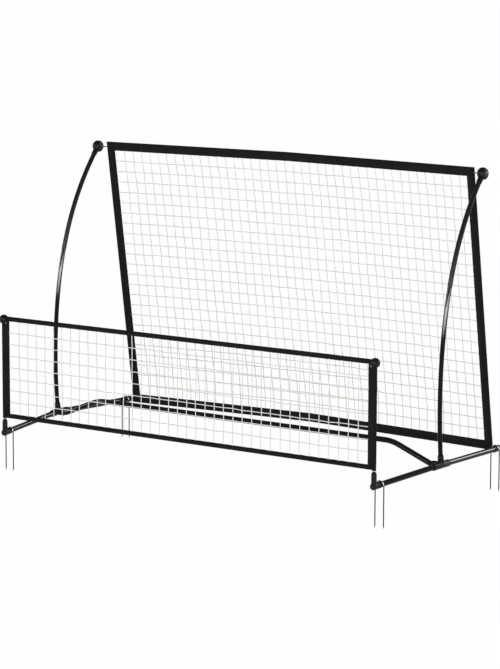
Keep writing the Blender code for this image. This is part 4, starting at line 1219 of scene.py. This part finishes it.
def floor_material():
    """White to the camera and to reflections, lit and shadowed for the rest of the light."""
    s = Surface("pale studio floor", None, Roughness=0.9, Specular_IOR_Level=0.0)
    s.finish(s.mix(s.noise(3.0, 3.0), grey(0.78), grey(0.82)))
    seen = sum(s.node("ShaderNodeLightPath", out=f"Is {kind} Ray")
               for kind in ("Camera", "Glossy", "Transmission")).clamped()
    glow = s.node("ShaderNodeEmission", values={"Color": (1, 1, 1, 1), "Strength": 1.0})
    lit = Value(s, s.shader.outputs[0])
    blend = s.node("ShaderNodeMixShader", values={0: seen * OWN_WHITE, 1: lit, 2: glow})
    s.links.new(blend.socket, s.nodes["Material Output"].inputs[0])
    return s.material


ring = FLOOR_R * circle(ACROSS, BACK, 96) - FLOOR_DROP * UP
mesh = made_mesh("studio_floor", ring, np.arange(len(ring))[None, :])
mesh.materials.append(floor_material())
floor = placed("studio_floor", mesh)

world = bpy.data.worlds.new("white studio")
bpy.context.scene.world = world
world.use_nodes = True
sky = world.node_tree.nodes["Background"]
sky.inputs["Color"].default_value = (1, 1, 1, 1)
sky.inputs["Strength"].default_value = SKY

# %% [markdown]
# The lamps are wide soft boxes far out, low in front and behind. A thin tube mirrors only a
# narrow band of its surroundings, so where the white lines lie on the rails and poles tells
# where the boxes stood: each line's place across its tube gives one direction by the law of
# reflection. The boxes are given here by those directions and by how bright they are.

# %% Lamps
AWAY = 13.0


def soft_box(name, azimuth, elevation, wide, tall, brightness):
    """A box that faces the frame from a direction, all angles in degrees: azimuth 0 is in
    front and grows to the right. Its size is 2 * distance * tan(half its angle)."""
    az, el = math.radians(azimuth), math.radians(elevation)
    at = Vector((math.sin(az) * math.cos(el), -math.cos(az) * math.cos(el), math.sin(el))) * AWAY
    light = bpy.data.lights.new(name, "AREA")
    light.shape = "RECTANGLE"
    light.size = 2.0 * AWAY * math.tan(math.radians(wide / 2))
    light.size_y = 2.0 * AWAY * math.tan(math.radians(tall / 2))
    light.energy = brightness * 4.0 * light.size * light.size_y
    obj = placed(name, light)
    obj.location = at + Vector((0.0, 0.0, 0.5))
    obj.rotation_euler = (-at).to_track_quat("-Z", "Y").to_euler()
    obj.visible_camera = False


soft_box("front_left_box", 0.0, 12.5, 34.0, 9.0, 11.0)
soft_box("front_right_box", 36.0, 12.0, 38.0, 9.5, 14.0)
soft_box("right_box", 84.0, 5.0, 32.0, 6.0, 9.0)
soft_box("left_box", -51.0, 14.0, 16.0, 16.0, 8.0)
soft_box("back_box", 152.0, 19.0, 20.0, 20.0, 9.0)
bpy.context.scene.view_settings.view_transform = "Standard"
print(len(PIECES), "pieces,", sum(len(o.data.polygons) for o in PIECES), "faces")
